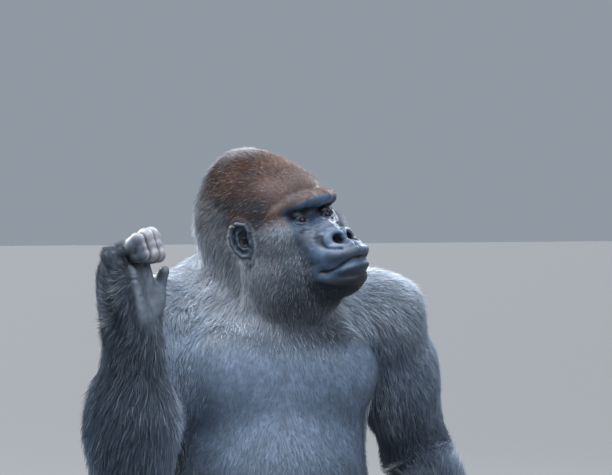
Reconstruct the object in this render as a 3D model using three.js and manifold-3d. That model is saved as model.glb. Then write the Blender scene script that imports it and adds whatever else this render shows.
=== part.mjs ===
// A seated silverback gorilla, life size, in millimetres, +Z up.
// The origin is on the floor, inside the flat that the rump sits on. The chest faces -Y, and the left
// side is +X. The body is one rounded form, described by named balls and tapered rods that blend into
// each other. The form is skinned, thinned to few triangles, and parted at the joints by thin cuts.
import * as THREE from "three";
import { mergeVertices } from "three/addons/utils/BufferGeometryUtils.js";
import Module from "manifold-3d";

const wasm = await Module();
wasm.setup();

// ---- Driving sizes ------------------------------------------------------------------------------
const CUT = 0.3; // gap left by a cut between two parts
const REACH = 1500; // longer than anything in the model

const HEAD_AT = [8, -60, 920]; // midway between the ears
const HEAD_YAW = 31; // degrees that the face is turned to the animal's left of its chest
const HEAD_PITCH = 12; // degrees that the muzzle is lifted
const HEAD_ROLL = 8; // degrees that the head leans onto its right side
const EYE_RADIUS = 13;
const EYE_SPACING = 78;

const SHOULDER = { right: [-236, -14, 727], left: [262, 20, 738] };
const ELBOW = { right: [-318, -199, 422], left: [385, 138, 425] };
const WRIST = { right: [-319, -236, 726], left: [425, -40, 174] };
const HIP = { right: [-135, 50, 125], left: [135, 50, 125] };
const KNEE = { right: [-352, -190, 252], left: [345, -192, 300] };
const ANKLE = { right: [-240, -402, 72], left: [262, -385, 72] };
const FOOT_LENGTH = 285;
const FINGER_PITCH = 30; // from one finger's middle to the next

const BODY_CELL = 15; // grid steps that the form is skinned on
const HEAD_CELL = 7;
const HAND_CELL = 6;
const FOOT_CELL = 8;
const EAR_CELL = 3.5;
const EAR_ROOM = 52; // half the cube that an ear is skinned in
const TRIANGLES = { body: 1080, head: 1100, ear: 70, hand: 440, leftHand: 320, foot: 200 };

// ---- Small vector helpers -----------------------------------------------------------------------
const plus = (a, b, s = 1) => [a[0] + b[0] * s, a[1] + b[1] * s, a[2] + b[2] * s];
const minus = (a, b) => plus(a, b, -1);
const dot = (a, b) => a[0] * b[0] + a[1] * b[1] + a[2] * b[2];
const cross = (a, b) => [a[1] * b[2] - a[2] * b[1], a[2] * b[0] - a[0] * b[2], a[0] * b[1] - a[1] * b[0]];
const unit = (a) => a.map((x) => x / Math.hypot(...a));
const mix = (a, b, t) => plus(a, minus(b, a), t);
const radians = (degrees) => (degrees * Math.PI) / 180;
const times = (a, s) => a.map((x) => x * s);
const flip = (a) => times(a, -1);
const determinant = (a, b, c) => dot(a, cross(b, c));

// A local frame: three unit axes and an origin. at(a, b, c) is a point given in it.
function frame(origin, axes) {
  return {
    origin,
    axes,
    at: (a, b, c) => plus(plus(plus(origin, axes[0], a), axes[1], b), axes[2], c),
  };
}

// ---- The shapes that the form is blended from ---------------------------------------------------
// Each returns a function of (x, y, z): about the distance to its surface, negative inside.

// An ellipsoid with its three radii along the axes of a frame, or along X, Y and Z.
function ball(at, radii, axes = null) {
  const [cx, cy, cz] = at;
  const [ra, rb, rc] = radii;
  return (x, y, z) => {
    let u = x - cx;
    let v = y - cy;
    let w = z - cz;
    if (axes) {
      const p = [u, v, w];
      u = dot(p, axes[0]);
      v = dot(p, axes[1]);
      w = dot(p, axes[2]);
    }
    const near = Math.sqrt((u / ra) ** 2 + (v / rb) ** 2 + (w / rc) ** 2);
    const slope = Math.sqrt((u / ra ** 2) ** 2 + (v / rb ** 2) ** 2 + (w / rc ** 2) ** 2);
    return slope < 1e-9 ? -Math.min(ra, rb, rc) : (near * (near - 1)) / slope;
  };
}

// A rod from a to b whose radius goes from ra to rb, with round ends.
function rod(a, b, ra, rb) {
  const along = minus(b, a);
  const square = dot(along, along);
  return (x, y, z) => {
    const px = x - a[0];
    const py = y - a[1];
    const pz = z - a[2];
    const t = Math.min(1, Math.max(0, (px * along[0] + py * along[1] + pz * along[2]) / square));
    return Math.hypot(px - along[0] * t, py - along[1] * t, pz - along[2] * t) - ra - (rb - ra) * t;
  };
}

// The smaller of two distances, rounded where they meet over a width.
function blended(a, b, width) {
  const h = Math.max(width - Math.abs(a - b), 0);
  return Math.min(a, b) - (h * h) / (4 * width);
}

// Joins a list of [shape, blend width], in order. A third entry of "dent" takes the shape away instead.
function joined(parts) {
  return (x, y, z) => {
    let d = parts[0][0](x, y, z);
    for (let i = 1; i < parts.length; i++) {
      const [shape, width, kind] = parts[i];
      const e = shape(x, y, z);
      if (e - d > width && !kind) continue;
      d = kind === "dent" ? -blended(-d, e, width) : blended(d, e, width);
    }
    return d;
  };
}

// ---- Trunk and neck -----------------------------------------------------------------------------
function trunkShapes() {
  const shapes = [
    [ball([0, 55, 150], [212, 172, 172]), 0],
    [ball([0, -40, 340], [228, 205, 222]), 90],
    [ball([0, 5, 600], [242, 178, 235]), 100],
    [ball([0, 92, 690], [215, 118, 160]), 80],
    [rod([-180, 30, 738], [190, 35, 745], 94, 94), 60],
  ];
  for (const side of [-1, 1]) {
    shapes.push([ball([side * 104, -112, 632], [118, 68, 98]), 40]); // breast muscle
    shapes.push([ball([side * 150, 100, 560], [85, 90, 150]), 70]); // broad back muscle
    shapes.push([rod([side * 55, 100, 815], [side * 200, 60, 752], 80, 62), 60]); // slope of the shoulders
    shapes.push([ball([side * 95, 120, 95], [110, 105, 95]), 50]); // buttock
  }
  shapes.push([rod([4, 60, 785], [-6, -8, 900], 140, 112), 60]); // neck
  return shapes;
}

// ---- Head ---------------------------------------------------------------------------------------
// Axes: to the animal's left, forward along the muzzle, and up.
function headFrame() {
  const yaw = radians(HEAD_YAW - 90);
  const pitch = radians(HEAD_PITCH);
  const roll = radians(HEAD_ROLL);
  const level = [Math.cos(yaw), Math.sin(yaw), 0];
  const side = cross([0, 0, 1], level);
  const forward = plus(times(level, Math.cos(pitch)), [0, 0, 1], Math.sin(pitch));
  const rise = cross(forward, side);
  const left = plus(times(side, Math.cos(roll)), rise, Math.sin(roll));
  const up = plus(times(rise, Math.cos(roll)), side, -Math.sin(roll));
  return frame(HEAD_AT, [left, forward, up]);
}
const head = headFrame();
const headBall = (at, radii) => ball(head.at(...at), radii, head.axes);
const headRod = (a, b, ra, rb) => rod(head.at(...a), head.at(...b), ra, rb);
const EYE_AT = { forward: 119, up: 8 };
const EAR_AT = { forward: 20, up: -2 };

function headShapes() {
  const shapes = [
    [headBall([0, -12, 55], [106, 140, 105]), 40],
    [headBall([0, -42, 98], [78, 112, 94]), 30], // crest
    [headBall([0, 68, 58], [72, 66, 42]), 30], // forehead
    [headBall([0, -96, 30], [104, 80, 115]), 40], // nape
    [headBall([0, 40, -128], [84, 104, 74]), 45], // throat
  ];
  for (const side of [-1, 1]) {
    shapes.push([headBall([side * 58, -5, 50], [54, 92, 78]), 30]); // temple muscle
    shapes.push([headBall([side * 66, 44, -74], [50, 82, 82]), 35]); // jaw muscle and cheek fur
    shapes.push([headBall([side * 74, 82, -12], [38, 48, 40]), 26]); // cheekbone
  }
  shapes.push([headBall([0, 112, -44], [64, 60, 52]), 26]); // middle of the face
  shapes.push([headBall([0, 150, -80], [62, 74, 44]), 26]); // upper jaw
  shapes.push([headBall([0, 142, -123], [57, 71, 42]), 14]); // lower jaw
  shapes.push([headBall([0, 154, 20], [34, 20, 18]), 10, "dent"]); // hollow above the bridge
  for (const side of [-1, 1]) {
    shapes.push([headBall([side * 38, 150, 20], [34, 33, 19]), 9, "dent"]); // eye socket
    shapes.push([headRod([side * 82, 88, 33], [side * 52, 130, 45], 12, 14), 12]); // brow, outer half
    shapes.push([headRod([side * 52, 130, 45], [side * 22, 144, 47], 14, 14), 8]);
    shapes.push([headRod([side * 22, 144, 47], [0, 144, 44], 14, 13.5), 8]); // brow, inner half
  }
  shapes.push([headRod([0, 116, 8], [0, 149, -20], 12.5, 15), 11]); // bridge of the nose
  shapes.push([headRod([0, 149, -20], [0, 165, -34], 15, 17), 11]);
  for (const side of [-1, 1]) {
    shapes.push([headBall([side * 46, 124, -106], [19, 32, 26]), 14]); // corner of the mouth
    shapes.push([headBall([(side * EYE_SPACING) / 2, EYE_AT.forward, EYE_AT.up], [19, 16, 16]), 6]); // lids
    shapes.push([headBall([side * 23, 172, -47], [24, 22, 24]), 7]); // wing of the nose
    shapes.push([headBall([side * 16, 196, -47.5], [12.5, 20, 11.2]), 4, "dent"]); // nostril
  }
  shapes.push([headBall([0, 190, -79], [50, 35, 15]), 12]); // upper lip
  shapes.push([headBall([0, 186, -108], [47, 34, 16]), 8]); // lower lip
  return shapes;
}

function earShapes(side) {
  const axes = earAxes(side);
  const at = earAt(side);
  return [
    [ball(at, [11, 24, 37], axes), 0],
    [ball(plus(at, axes[0], 11), [9, 14, 24], axes), 5, "dent"],
    [ball(plus(plus(at, axes[2], -4), axes[1], 8), [10, 8, 12], axes), 6],
  ];
}
// An ear stands on the side of the head, which is found by stepping outwards to the skin.
function earAt(side) {
  let reach = 60;
  for (let step = 0; step < 40; step++) {
    reach -= core(...head.at(side * reach, EAR_AT.forward, EAR_AT.up));
  }
  return head.at(side * (reach + 4), EAR_AT.forward, EAR_AT.up);
}
function earAxes(side) {
  const out = unit(plus(times(head.axes[0], side), head.axes[1], 0.42));
  const up = unit(plus(head.axes[2], out, -dot(head.axes[2], out)));
  return [out, cross(up, out), up];
}

// ---- Arms and hands -----------------------------------------------------------------------------
function armShapes(side) {
  const shoulder = SHOULDER[side];
  const elbow = ELBOW[side];
  const wrist = WRIST[side];
  const belly = side === "right" ? 100 : 84; // the raised forearm's long coat hangs off it
  return [
    [ball(shoulder, [99, 96, 99]), 0],
    [rod(shoulder, elbow, 92, 76), 30],
    [ball(mix(shoulder, elbow, 0.42), [92, 98, 126]), 40],
    [rod(elbow, wrist, 80, 66), 30],
    [ball(mix(elbow, wrist, 0.42), [belly, 92, 128]), 40],
  ];
}

// Axes of a hand: from the little finger to the thumb, out of the palm, and along the palm to the knuckles.
const RIGHT_HAND = { along: unit([-0.17, -0.058, 0.985]), palm: [0.868, -0.49, 0.121] };
const LEFT_HAND = { along: unit([4, -52, -108]), palm: [-0.05, 0.89, -0.43] };
function handFrame(side, { along, palm }) {
  const out = unit(plus(palm, along, -dot(palm, along)));
  const across = side === "right" ? cross(along, out) : cross(out, along);
  return frame(WRIST[side], [across, out, along]);
}
const hand = { right: handFrame("right", RIGHT_HAND), left: handFrame("left", LEFT_HAND) };
const PALM_LENGTH = { right: 162, left: 120 };

// How far each finger is bent from the palm's own line, in degrees, after each of its three joints.
const FINGER_BENDS = { right: [62, 173, 266], left: [-28, 92, 168] };
// Lengths of its three bones, for the little finger to the index finger, and its thickness.
const FINGER_BONES = {
  right: [
    [54, 29, 20, 14.5],
    [64, 35, 22, 16],
    [68, 37, 23, 16.5],
    [62, 35, 22, 16],
  ],
  left: [
    [54, 34, 24, 14.5],
    [64, 41, 26, 16],
    [68, 43, 27, 16.5],
    [62, 41, 26, 16],
  ],
};
const KNUCKLES = { right: [2, 0, -4, -9], left: [-8, -4, 0, -4] }; // where each finger starts, past the palm
const GATHER = { right: [0.82, 0.76, 0.76], left: [0.97, 0.94, 0.94] }; // fingers draw together as they curl
const FINGER_NAMES = ["little_finger", "ring_finger", "middle_finger", "index_finger"];
const FINGERS_OUT = { right: 5, left: 0 }; // how far the fingers start in front of the palm's middle
const fingerAcross = (i) => (i - 1.5) * FINGER_PITCH;

// The thumb's root, middle joint and tip, in its hand's frame.
const THUMB_PATH = {
  right: [
    [48, 38, 58],
    [54, 54, 92],
    [46, 69, 118],
  ],
  left: [
    [44, 24, 58],
    [52, 46, 82],
    [46, 56, 104],
  ],
};

function fingerPath(side, i) {
  let at = [fingerAcross(i), FINGERS_OUT[side], PALM_LENGTH[side] + KNUCKLES[side][i]];
  const path = [at];
  FINGER_BENDS[side].forEach((bend, joint) => {
    at = plus(at, [0, Math.sin(radians(bend)), Math.cos(radians(bend))], FINGER_BONES[side][i][joint]);
    at = [fingerAcross(i) * GATHER[side][joint], at[1], at[2]];
    path.push(at);
  });
  return path;
}

function fingerShapes(side, i) {
  const h = hand[side];
  const path = fingerPath(side, i);
  const radius = FINGER_BONES[side][i][3];
  return [0, 1, 2].map((joint) => {
    const start = radius + (joint === 0 ? 2 : 0) - joint;
    const end = radius - joint - 0.5;
    return [rod(h.at(...path[joint]), h.at(...path[joint + 1]), start, end), joint ? 2.5 : 5];
  });
}

function handShapes(side) {
  const h = hand[side];
  const length = PALM_LENGTH[side];
  const right = side === "right";
  const palm = right ? 7 : 0; // the fist's palm stands out further
  const coat = right ? { at: -22, depth: 38 } : { at: -14, depth: 26 };
  const shapes = [
    [ball(h.at(0, palm, length * 0.52), [62, 32, length * 0.6], h.axes), 0],
    [rod(h.at(-40, 8 + palm, 10), h.at(-46, 4 + palm, length - 16), 24, 20), 14], // outer edge
    [rod(h.at(-34, 22 + palm, 26), h.at(-38, 17 + palm, length - 36), 21, 18), 12], // its pad
    [rod(h.at(30, 24 + palm, 16), h.at(46, 30 + palm * 2, 70), 28, 22), 14], // ball of the thumb
    [ball(h.at(0, coat.at, length * 0.4), [56, coat.depth, length * 0.62], h.axes), 20], // the back
    [rod(h.at(44, 8, 66), h.at(42, 4, length - 18), 22, 19), 14], // inner edge
    [rod(h.at(38, 26 + palm, 56), h.at(30, 22 + palm, length - 26), 20, 18), 14], // its pad
    [rod(h.at(-44, -2, length - 8), h.at(44, -2, length - 12), 17, 17), 14], // between the knuckles
  ];
  for (let i = 0; i < 4; i++) {
    const at = fingerPath(side, i)[0];
    shapes.push([ball(h.at(at[0], -3, at[2]), [17.5, 21, 20], h.axes), 8]);
  }
  if (right) {
    const [first, last] = [0, 3].map((i) => {
      const path = fingerPath(side, i);
      return plus(mix(path[1], path[3], 0.58), [0, -6, -4]);
    });
    shapes.push([rod(h.at(...plus(first, [14, 0, 0])), h.at(...last), 12, 12), 5]); // inside of the fist
  }
  for (let i = 0; i < 4; i++) shapes.push(...fingerShapes(side, i));
  const thumb = THUMB_PATH[side].map((at) => h.at(...at));
  shapes.push([rod(thumb[0], thumb[1], 18, 13.5), 6]);
  shapes.push([rod(thumb[1], thumb[2], 13.5, 11), 4]);
  return shapes;
}

// ---- Legs and feet ------------------------------------------------------------------------------
function legShapes(side) {
  const knee = KNEE[side];
  const ankle = ANKLE[side];
  return [
    [rod(HIP[side], knee, 126, 86), 0],
    [ball(mix(HIP[side], knee, 0.45), [112, 116, 112]), 40],
    [rod(knee, ankle, 82, 50), 30],
    [ball(plus(mix(knee, ankle, 0.35), [0, 16, -8]), [70, 76, 92]), 30],
  ];
}

// Axes of a foot: to the little toe, forward along the sole, and up.
function footFrame(side) {
  const outward = side === "right" ? -1 : 1;
  const forward = unit([outward * 0.2, -1, 0]);
  const toLittleToe = times(cross([0, 0, 1], forward), outward);
  return frame([ANKLE[side][0], ANKLE[side][1], 0], [toLittleToe, forward, [0, 0, 1]]);
}
const foot = { right: footFrame("right"), left: footFrame("left") };
const HEEL_BACK = 62;
const TOE_PITCH = 23;
const toeAcross = (i) => -12 + i * TOE_PITCH;

function footShapes(side) {
  const { at } = foot[side];
  const reach = FOOT_LENGTH - HEEL_BACK;
  const shapes = [
    [rod(at(0, -HEEL_BACK + 38, 34), at(4, 20, 62), 36, 44), 0],
    [rod(at(4, 10, 38), at(14, reach * 0.56, 26), 42, 30), 20],
    [rod(at(-6, 40, 26), at(-16, reach * 0.54, 22), 30, 24), 18],
    [rod(at(24, 30, 22), at(48, reach * 0.5, 18), 26, 21), 16],
    [rod(at(-26, reach * 0.3, 24), at(-58, reach * 0.62, 20), 24, 18), 10], // great toe
    [rod(at(-58, reach * 0.62, 17), at(-64, reach * 0.82, 12), 17.5, 14), 4],
  ];
  for (let i = 0; i < 4; i++) {
    const root = at(toeAcross(i), reach * 0.6 - i * 5, 22);
    const bend = at(toeAcross(i) + 3, reach * 0.8 - i * 8, 25);
    const tip = at(toeAcross(i) + 5, reach - 12 - i * 11, 9);
    shapes.push([rod(root, bend, 14.5, 13), 5]);
    shapes.push([rod(bend, tip, 13, 11), 4]);
  }
  return shapes;
}

// ---- The whole form -----------------------------------------------------------------------------
// Arms and legs each blend into the trunk, but not into each other.
const core = joined([...trunkShapes(), ...headShapes()]);
const limbs = {};
for (const side of ["right", "left"]) {
  limbs[`arm_${side}`] = joined([...armShapes(side), ...withWidth(handShapes(side), 22)]);
  limbs[`leg_${side}`] = joined([...legShapes(side), ...withWidth(footShapes(side), 26)]);
}
function withWidth(shapes, width) {
  return [[shapes[0][0], width], ...shapes.slice(1)];
}
function body(x, y, z) {
  const trunk = core(x, y, z);
  const arm = x < 0 ? limbs.arm_right(x, y, z) : limbs.arm_left(x, y, z);
  const leg = x < 0 ? limbs.leg_right(x, y, z) : limbs.leg_left(x, y, z);
  return Math.min(blended(trunk, arm, 45), blended(trunk, leg, 50));
}

// A form kept only where it lies beyond planes, or outside rods. Solids are cut exactly later on, so
// this leaves a margin and only saves triangles.
const MARGIN = 24;
const past = (at, normal) => {
  const n = unit(normal);
  return (x, y, z) => dot(minus(at, [x, y, z]), n) - MARGIN;
};
const kept =
  (form, ...limits) =>
  (x, y, z) =>
    Math.max(form(x, y, z), ...limits.map((limit) => limit(x, y, z)));
const outside = (shape) => (x, y, z) => -shape(x, y, z) - 2 * MARGIN;

// The lowest and highest corners of a cube around a point.
const roomAround = (at, reach) => [at.map((v) => v - reach), at.map((v) => v + reach)];

// ---- Skinning a form ----------------------------------------------------------------------------
// Each cube of the grid is split into six tetrahedra around its long diagonal, and each tetrahedron
// gives at most two triangles, so the skin is always closed.
const CUBE = [0, 1, 2, 3, 4, 5, 6, 7].map((i) => [i & 1, (i >> 1) & 1, (i >> 2) & 1]);
const TETRAHEDRA = [
  [0, 1, 3, 7],
  [0, 3, 2, 7],
  [0, 2, 6, 7],
  [0, 6, 4, 7],
  [0, 4, 5, 7],
  [0, 5, 1, 7],
];

function skin(form, low, high, cell) {
  const n = low.map((v, i) => Math.ceil((high[i] - v) / cell) + 1);
  const index = (i, j, k) => i + n[0] * (j + n[1] * k);
  const value = new Float32Array(n[0] * n[1] * n[2]).fill(1);
  const BLOCK = 6;
  const half = (BLOCK * cell * Math.sqrt(3)) / 2;
  for (let k = 1; k < n[2] - 1; k += BLOCK) {
    for (let j = 1; j < n[1] - 1; j += BLOCK) {
      for (let i = 1; i < n[0] - 1; i += BLOCK) {
        const centre = [i, j, k].map((v, a) => low[a] + (v + BLOCK / 2) * cell);
        const d = form(...centre);
        const fill = Math.abs(d) > half * 1.5 ? Math.sign(d) : 0;
        for (let c = k; c < Math.min(k + BLOCK, n[2] - 1); c++) {
          for (let b = j; b < Math.min(j + BLOCK, n[1] - 1); b++) {
            for (let a = i; a < Math.min(i + BLOCK, n[0] - 1); a++) {
              value[index(a, b, c)] =
                fill || form(low[0] + a * cell, low[1] + b * cell, low[2] + c * cell) || 1e-4;
            }
          }
        }
      }
    }
  }
  const points = [];
  const faces = [];
  const made = new Map();
  const corner = (v) => [v % n[0], Math.floor(v / n[0]) % n[1], Math.floor(v / (n[0] * n[1]))];
  const crossing = (a, b) => {
    const [p, q] = a < b ? [a, b] : [b, a];
    const key = p * value.length + q;
    if (made.has(key)) return made.get(key);
    const t = Math.min(0.95, Math.max(0.05, value[p] / (value[p] - value[q])));
    const [u, w] = [corner(p), corner(q)];
    points.push(u.map((c, i) => low[i] + (c + (w[i] - c) * t) * cell));
    made.set(key, points.length - 1);
    return points.length - 1;
  };
  // Where the skin leaves a tetrahedron: three points around a lone corner, or four between two pairs.
  const ringOf = (ins, outs) => {
    if (ins.length === 1) return outs.map((w) => crossing(w, ins[0]));
    if (outs.length === 1) return ins.map((w) => crossing(w, outs[0]));
    const pairs = [
      [0, 0],
      [0, 1],
      [1, 1],
      [1, 0],
    ];
    return pairs.map(([a, b]) => crossing(ins[a], outs[b]));
  };
  for (let k = 0; k < n[2] - 1; k++) {
    for (let j = 0; j < n[1] - 1; j++) {
      for (let i = 0; i < n[0] - 1; i++) {
        const ids = CUBE.map(([a, b, c]) => index(i + a, j + b, k + c));
        const inside = ids.filter((v) => value[v] < 0).length;
        if (inside === 0 || inside === 8) continue;
        for (const tetra of TETRAHEDRA) {
          const v = tetra.map((t) => ids[t]);
          const ins = v.filter((w) => value[w] < 0);
          const outs = v.filter((w) => value[w] >= 0);
          if (!ins.length || !outs.length) continue;
          const ring = ringOf(ins, outs);
          const away = minus(corner(outs[0]), corner(ins[0]));
          const [p, q, r] = ring.map((w) => points[w]);
          if (dot(cross(minus(q, p), minus(r, p)), away) < 0) ring.reverse();
          faces.push([ring[0], ring[1], ring[2]]);
          if (ring.length === 4) faces.push([ring[0], ring[2], ring[3]]);
        }
      }
    }
  }
  return { points, faces };
}

// ---- Thinning a skin ----------------------------------------------------------------------------
// Edges are closed up in order of how far that moves the surface from the planes that met there.
function thinned({ points, faces }, wanted, care = () => 1) {
  const quadrics = points.map(() => new Float64Array(10));
  const around = points.map(() => new Set());
  const alive = faces.map(() => true);
  faces.forEach((f, id) => {
    const normal = cross(minus(points[f[1]], points[f[0]]), minus(points[f[2]], points[f[0]]));
    const size = Math.hypot(...normal);
    f.forEach((v) => around[v].add(id));
    if (size < 1e-9) return;
    const [a, b, c] = normal.map((x) => x / size);
    const d = -dot([a, b, c], points[f[0]]);
    const w = size * care(points[f[0]]);
    const q = [a * a, a * b, a * c, a * d, b * b, b * c, b * d, c * c, c * d, d * d];
    f.forEach((v) => q.forEach((x, i) => (quadrics[v][i] += x * w)));
  });
  const cost = (q, [x, y, z]) =>
    q[0] * x * x + 2 * q[1] * x * y + 2 * q[2] * x * z + 2 * q[3] * x + q[4] * y * y +
    2 * q[5] * y * z + 2 * q[6] * y + q[7] * z * z + 2 * q[8] * z + q[9];
  const best = (a, b) => {
    const q = quadrics[a].map((x, i) => x + quadrics[b][i]);
    const middle = mix(points[a], points[b], 0.5);
    const spread = Math.hypot(...minus(points[a], points[b]));
    const choices = [middle, points[a], points[b]];
    const [u, v, w] = [[q[0], q[1], q[2]], [q[1], q[4], q[5]], [q[2], q[5], q[7]]];
    const size = determinant(u, v, w);
    if (Math.abs(size) > 1e-4 * (q[0] + q[4] + q[7]) ** 3) {
      const r = [-q[3], -q[6], -q[8]];
      const solved = [determinant(r, v, w) / size, determinant(u, r, w) / size, determinant(u, v, r) / size];
      if (Math.hypot(...minus(solved, middle)) < 2 * spread) choices.unshift(solved);
    }
    const costs = choices.map((p) => cost(q, p));
    const least = costs.indexOf(Math.min(...costs));
    return { at: choices[least], cost: costs[least] + spread * 1e-3 };
  };
  const slim = (corners) => {
    const longest = Math.max(...corners.map((p, i) => Math.hypot(...minus(p, corners[(i + 1) % 3]))));
    const [p, q, r] = corners;
    return Math.hypot(...cross(minus(q, p), minus(r, p))) / (longest ** 2 + 1e-12);
  };
  const stamp = points.map(() => 0);
  const heap = makeHeap();
  const offer = (a, b) => {
    const { at, cost: c } = best(a, b);
    heap.push({ cost: c, a, b, at, stampA: stamp[a], stampB: stamp[b] });
  };
  faces.forEach((f) => f.forEach((v, i) => v < f[(i + 1) % 3] && offer(v, f[(i + 1) % 3])));
  let left = faces.length;
  const neighbours = (v) => new Set([...around[v]].flatMap((id) => faces[id]).filter((w) => w !== v));
  while (left > wanted && heap.size()) {
    const { a, b, at, stampA, stampB } = heap.pop();
    if (stamp[a] !== stampA || stamp[b] !== stampB) continue;
    const shared = [...around[a]].filter((id) => around[b].has(id));
    const nearA = neighbours(a);
    const common = [...neighbours(b)].filter((v) => nearA.has(v));
    if (shared.length !== 2 || common.length !== 2) continue;
    const flips = [a, b].some((v) =>
      [...around[v]].some((id) => {
        if (shared.includes(id)) return false;
        const old = faces[id].map((w) => points[w]);
        const now = faces[id].map((w) => (w === v ? at : points[w]));
        const before = cross(minus(old[1], old[0]), minus(old[2], old[0]));
        const after = cross(minus(now[1], now[0]), minus(now[2], now[0]));
        const turned = dot(before, after) < 0.1 * Math.hypot(...before) * Math.hypot(...after);
        return turned || slim(now) < Math.min(0.04, 0.9 * slim(old));
      }),
    );
    if (flips) continue;
    points[a] = at;
    quadrics[b].forEach((x, i) => (quadrics[a][i] += x));
    shared.forEach((id) => {
      alive[id] = false;
      faces[id].forEach((v) => around[v].delete(id));
    });
    left -= 2;
    [...around[b]].forEach((id) => {
      faces[id] = faces[id].map((v) => (v === b ? a : v));
      around[a].add(id);
    });
    around[b].clear();
    stamp[b] = -1;
    stamp[a] += 1;
    neighbours(a).forEach((v) => offer(a, v));
  }
  return { points, faces: faces.filter((f, id) => alive[id]) };
}

// A binary heap of entries, the lowest cost on top.
function makeHeap() {
  const items = [];
  const swap = (i, j) => ([items[i], items[j]] = [items[j], items[i]]);
  return {
    size: () => items.length,
    push(entry) {
      items.push(entry);
      let i = items.length - 1;
      while (i > 0 && items[(i - 1) >> 1].cost > items[i].cost) {
        swap(i, (i - 1) >> 1);
        i = (i - 1) >> 1;
      }
    },
    pop() {
      const top = items[0];
      const last = items.pop();
      if (items.length) {
        items[0] = last;
        let i = 0;
        for (;;) {
          const [l, r] = [2 * i + 1, 2 * i + 2];
          let least = i;
          if (l < items.length && items[l].cost < items[least].cost) least = l;
          if (r < items.length && items[r].cost < items[least].cost) least = r;
          if (least === i) break;
          swap(i, least);
          i = least;
        }
      }
      return top;
    },
  };
}

// ---- Solids and cuts ----------------------------------------------------------------------------
function solidFromLists({ points, faces }) {
  const used = new Map();
  const vertProperties = [];
  const triVerts = faces.flat().map((v) => {
    if (!used.has(v)) {
      used.set(v, used.size);
      vertProperties.push(...points[v]);
    }
    return used.get(v);
  });
  return makeSolid(vertProperties, triVerts);
}

function makeSolid(positions, corners) {
  const vertProperties = new Float32Array(positions);
  const triVerts = new Uint32Array(corners);
  return new wasm.Manifold(new wasm.Mesh({ numProp: 3, vertProperties, triVerts }));
}

function solidFromGeometry(geometry) {
  geometry.deleteAttribute("normal");
  geometry.deleteAttribute("uv");
  const merged = mergeVertices(geometry, 1e-4);
  return makeSolid(merged.attributes.position.array, merged.index.array);
}

// Turns a geometry so that its own +Y lies along a direction, and moves it to a point.
function placed(geometry, at, direction) {
  const own = new THREE.Vector3(0, 1, 0);
  const turn = new THREE.Quaternion().setFromUnitVectors(own, new THREE.Vector3(...unit(direction)));
  return geometry.applyQuaternion(turn).translate(...at);
}

// Everything on the side of a plane that its normal points to, less half a cut.
function beyond(point, normal, size = REACH) {
  const n = unit(normal);
  const box = new THREE.BoxGeometry(2 * size, size, 2 * size);
  return solidFromGeometry(placed(box, plus(point, n, size / 2 + CUT / 2), n));
}

// A tapered tube around a limb, which parts it from the trunk. Grown by a cut, it clears the trunk.
function sleeve(a, b, ra, rb, grow = 0) {
  const along = minus(b, a);
  const length = Math.hypot(...along) + 2 * grow;
  const tube = new THREE.CylinderGeometry(rb + grow, ra + grow, length, 14);
  return solidFromGeometry(placed(tube, mix(a, b, 0.5), along));
}

const largest = (solid) => solid.decompose().sort((a, b) => b.volume() - a.volume())[0];

const COAT = new THREE.MeshStandardMaterial({ color: 0x24262a, roughness: 0.85, metalness: 0 });
const BARE = new THREE.MeshStandardMaterial({ color: 0x2c3138, roughness: 0.5, metalness: 0 });
const EYE = new THREE.MeshStandardMaterial({ color: 0x5a2c14, roughness: 0.12, metalness: 0 });
const gorilla = new THREE.Group();

// The floor trims everything that touches it to one level.
const ABOVE_FLOOR = solidFromGeometry(new THREE.BoxGeometry(3000, 3000, 3000).translate(0, 0, 1500));

function addNode(name, solid, material) {
  const { vertProperties, triVerts } = largest(solid.intersect(ABOVE_FLOOR)).getMesh();
  const geometry = new THREE.BufferGeometry();
  geometry.setAttribute("position", new THREE.BufferAttribute(new Float32Array(vertProperties), 3));
  geometry.setIndex(new THREE.BufferAttribute(new Uint32Array(triVerts), 1));
  geometry.computeVertexNormals();
  const mesh = new THREE.Mesh(geometry, material);
  mesh.name = name;
  gorilla.add(mesh);
}

// ---- Head, jaw, ears and eyes -------------------------------------------------------------------
const NECK_CUT = { at: head.at(0, -90, -58), normal: unit(plus(head.axes[2], head.axes[1], 0.5)) };
const THROAT_CUT = { at: head.at(0, 20, -176), normal: unit(plus(head.axes[1], head.axes[2], 0.35)) };
const MOUTH = { at: head.at(0, 163, -101), normal: unit(plus(flip(head.axes[2]), head.axes[1], 0.11)) };
const JAW_BACK = 92;

// The head's own form, a little larger, that the ears are cut by.
const grown = (x, y, z) => body(x, y, z) - 2.5;
const grownHead = solidFromLists(thinned(skin(grown, ...roomAround(HEAD_AT, 170), 9), 2600));

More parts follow.
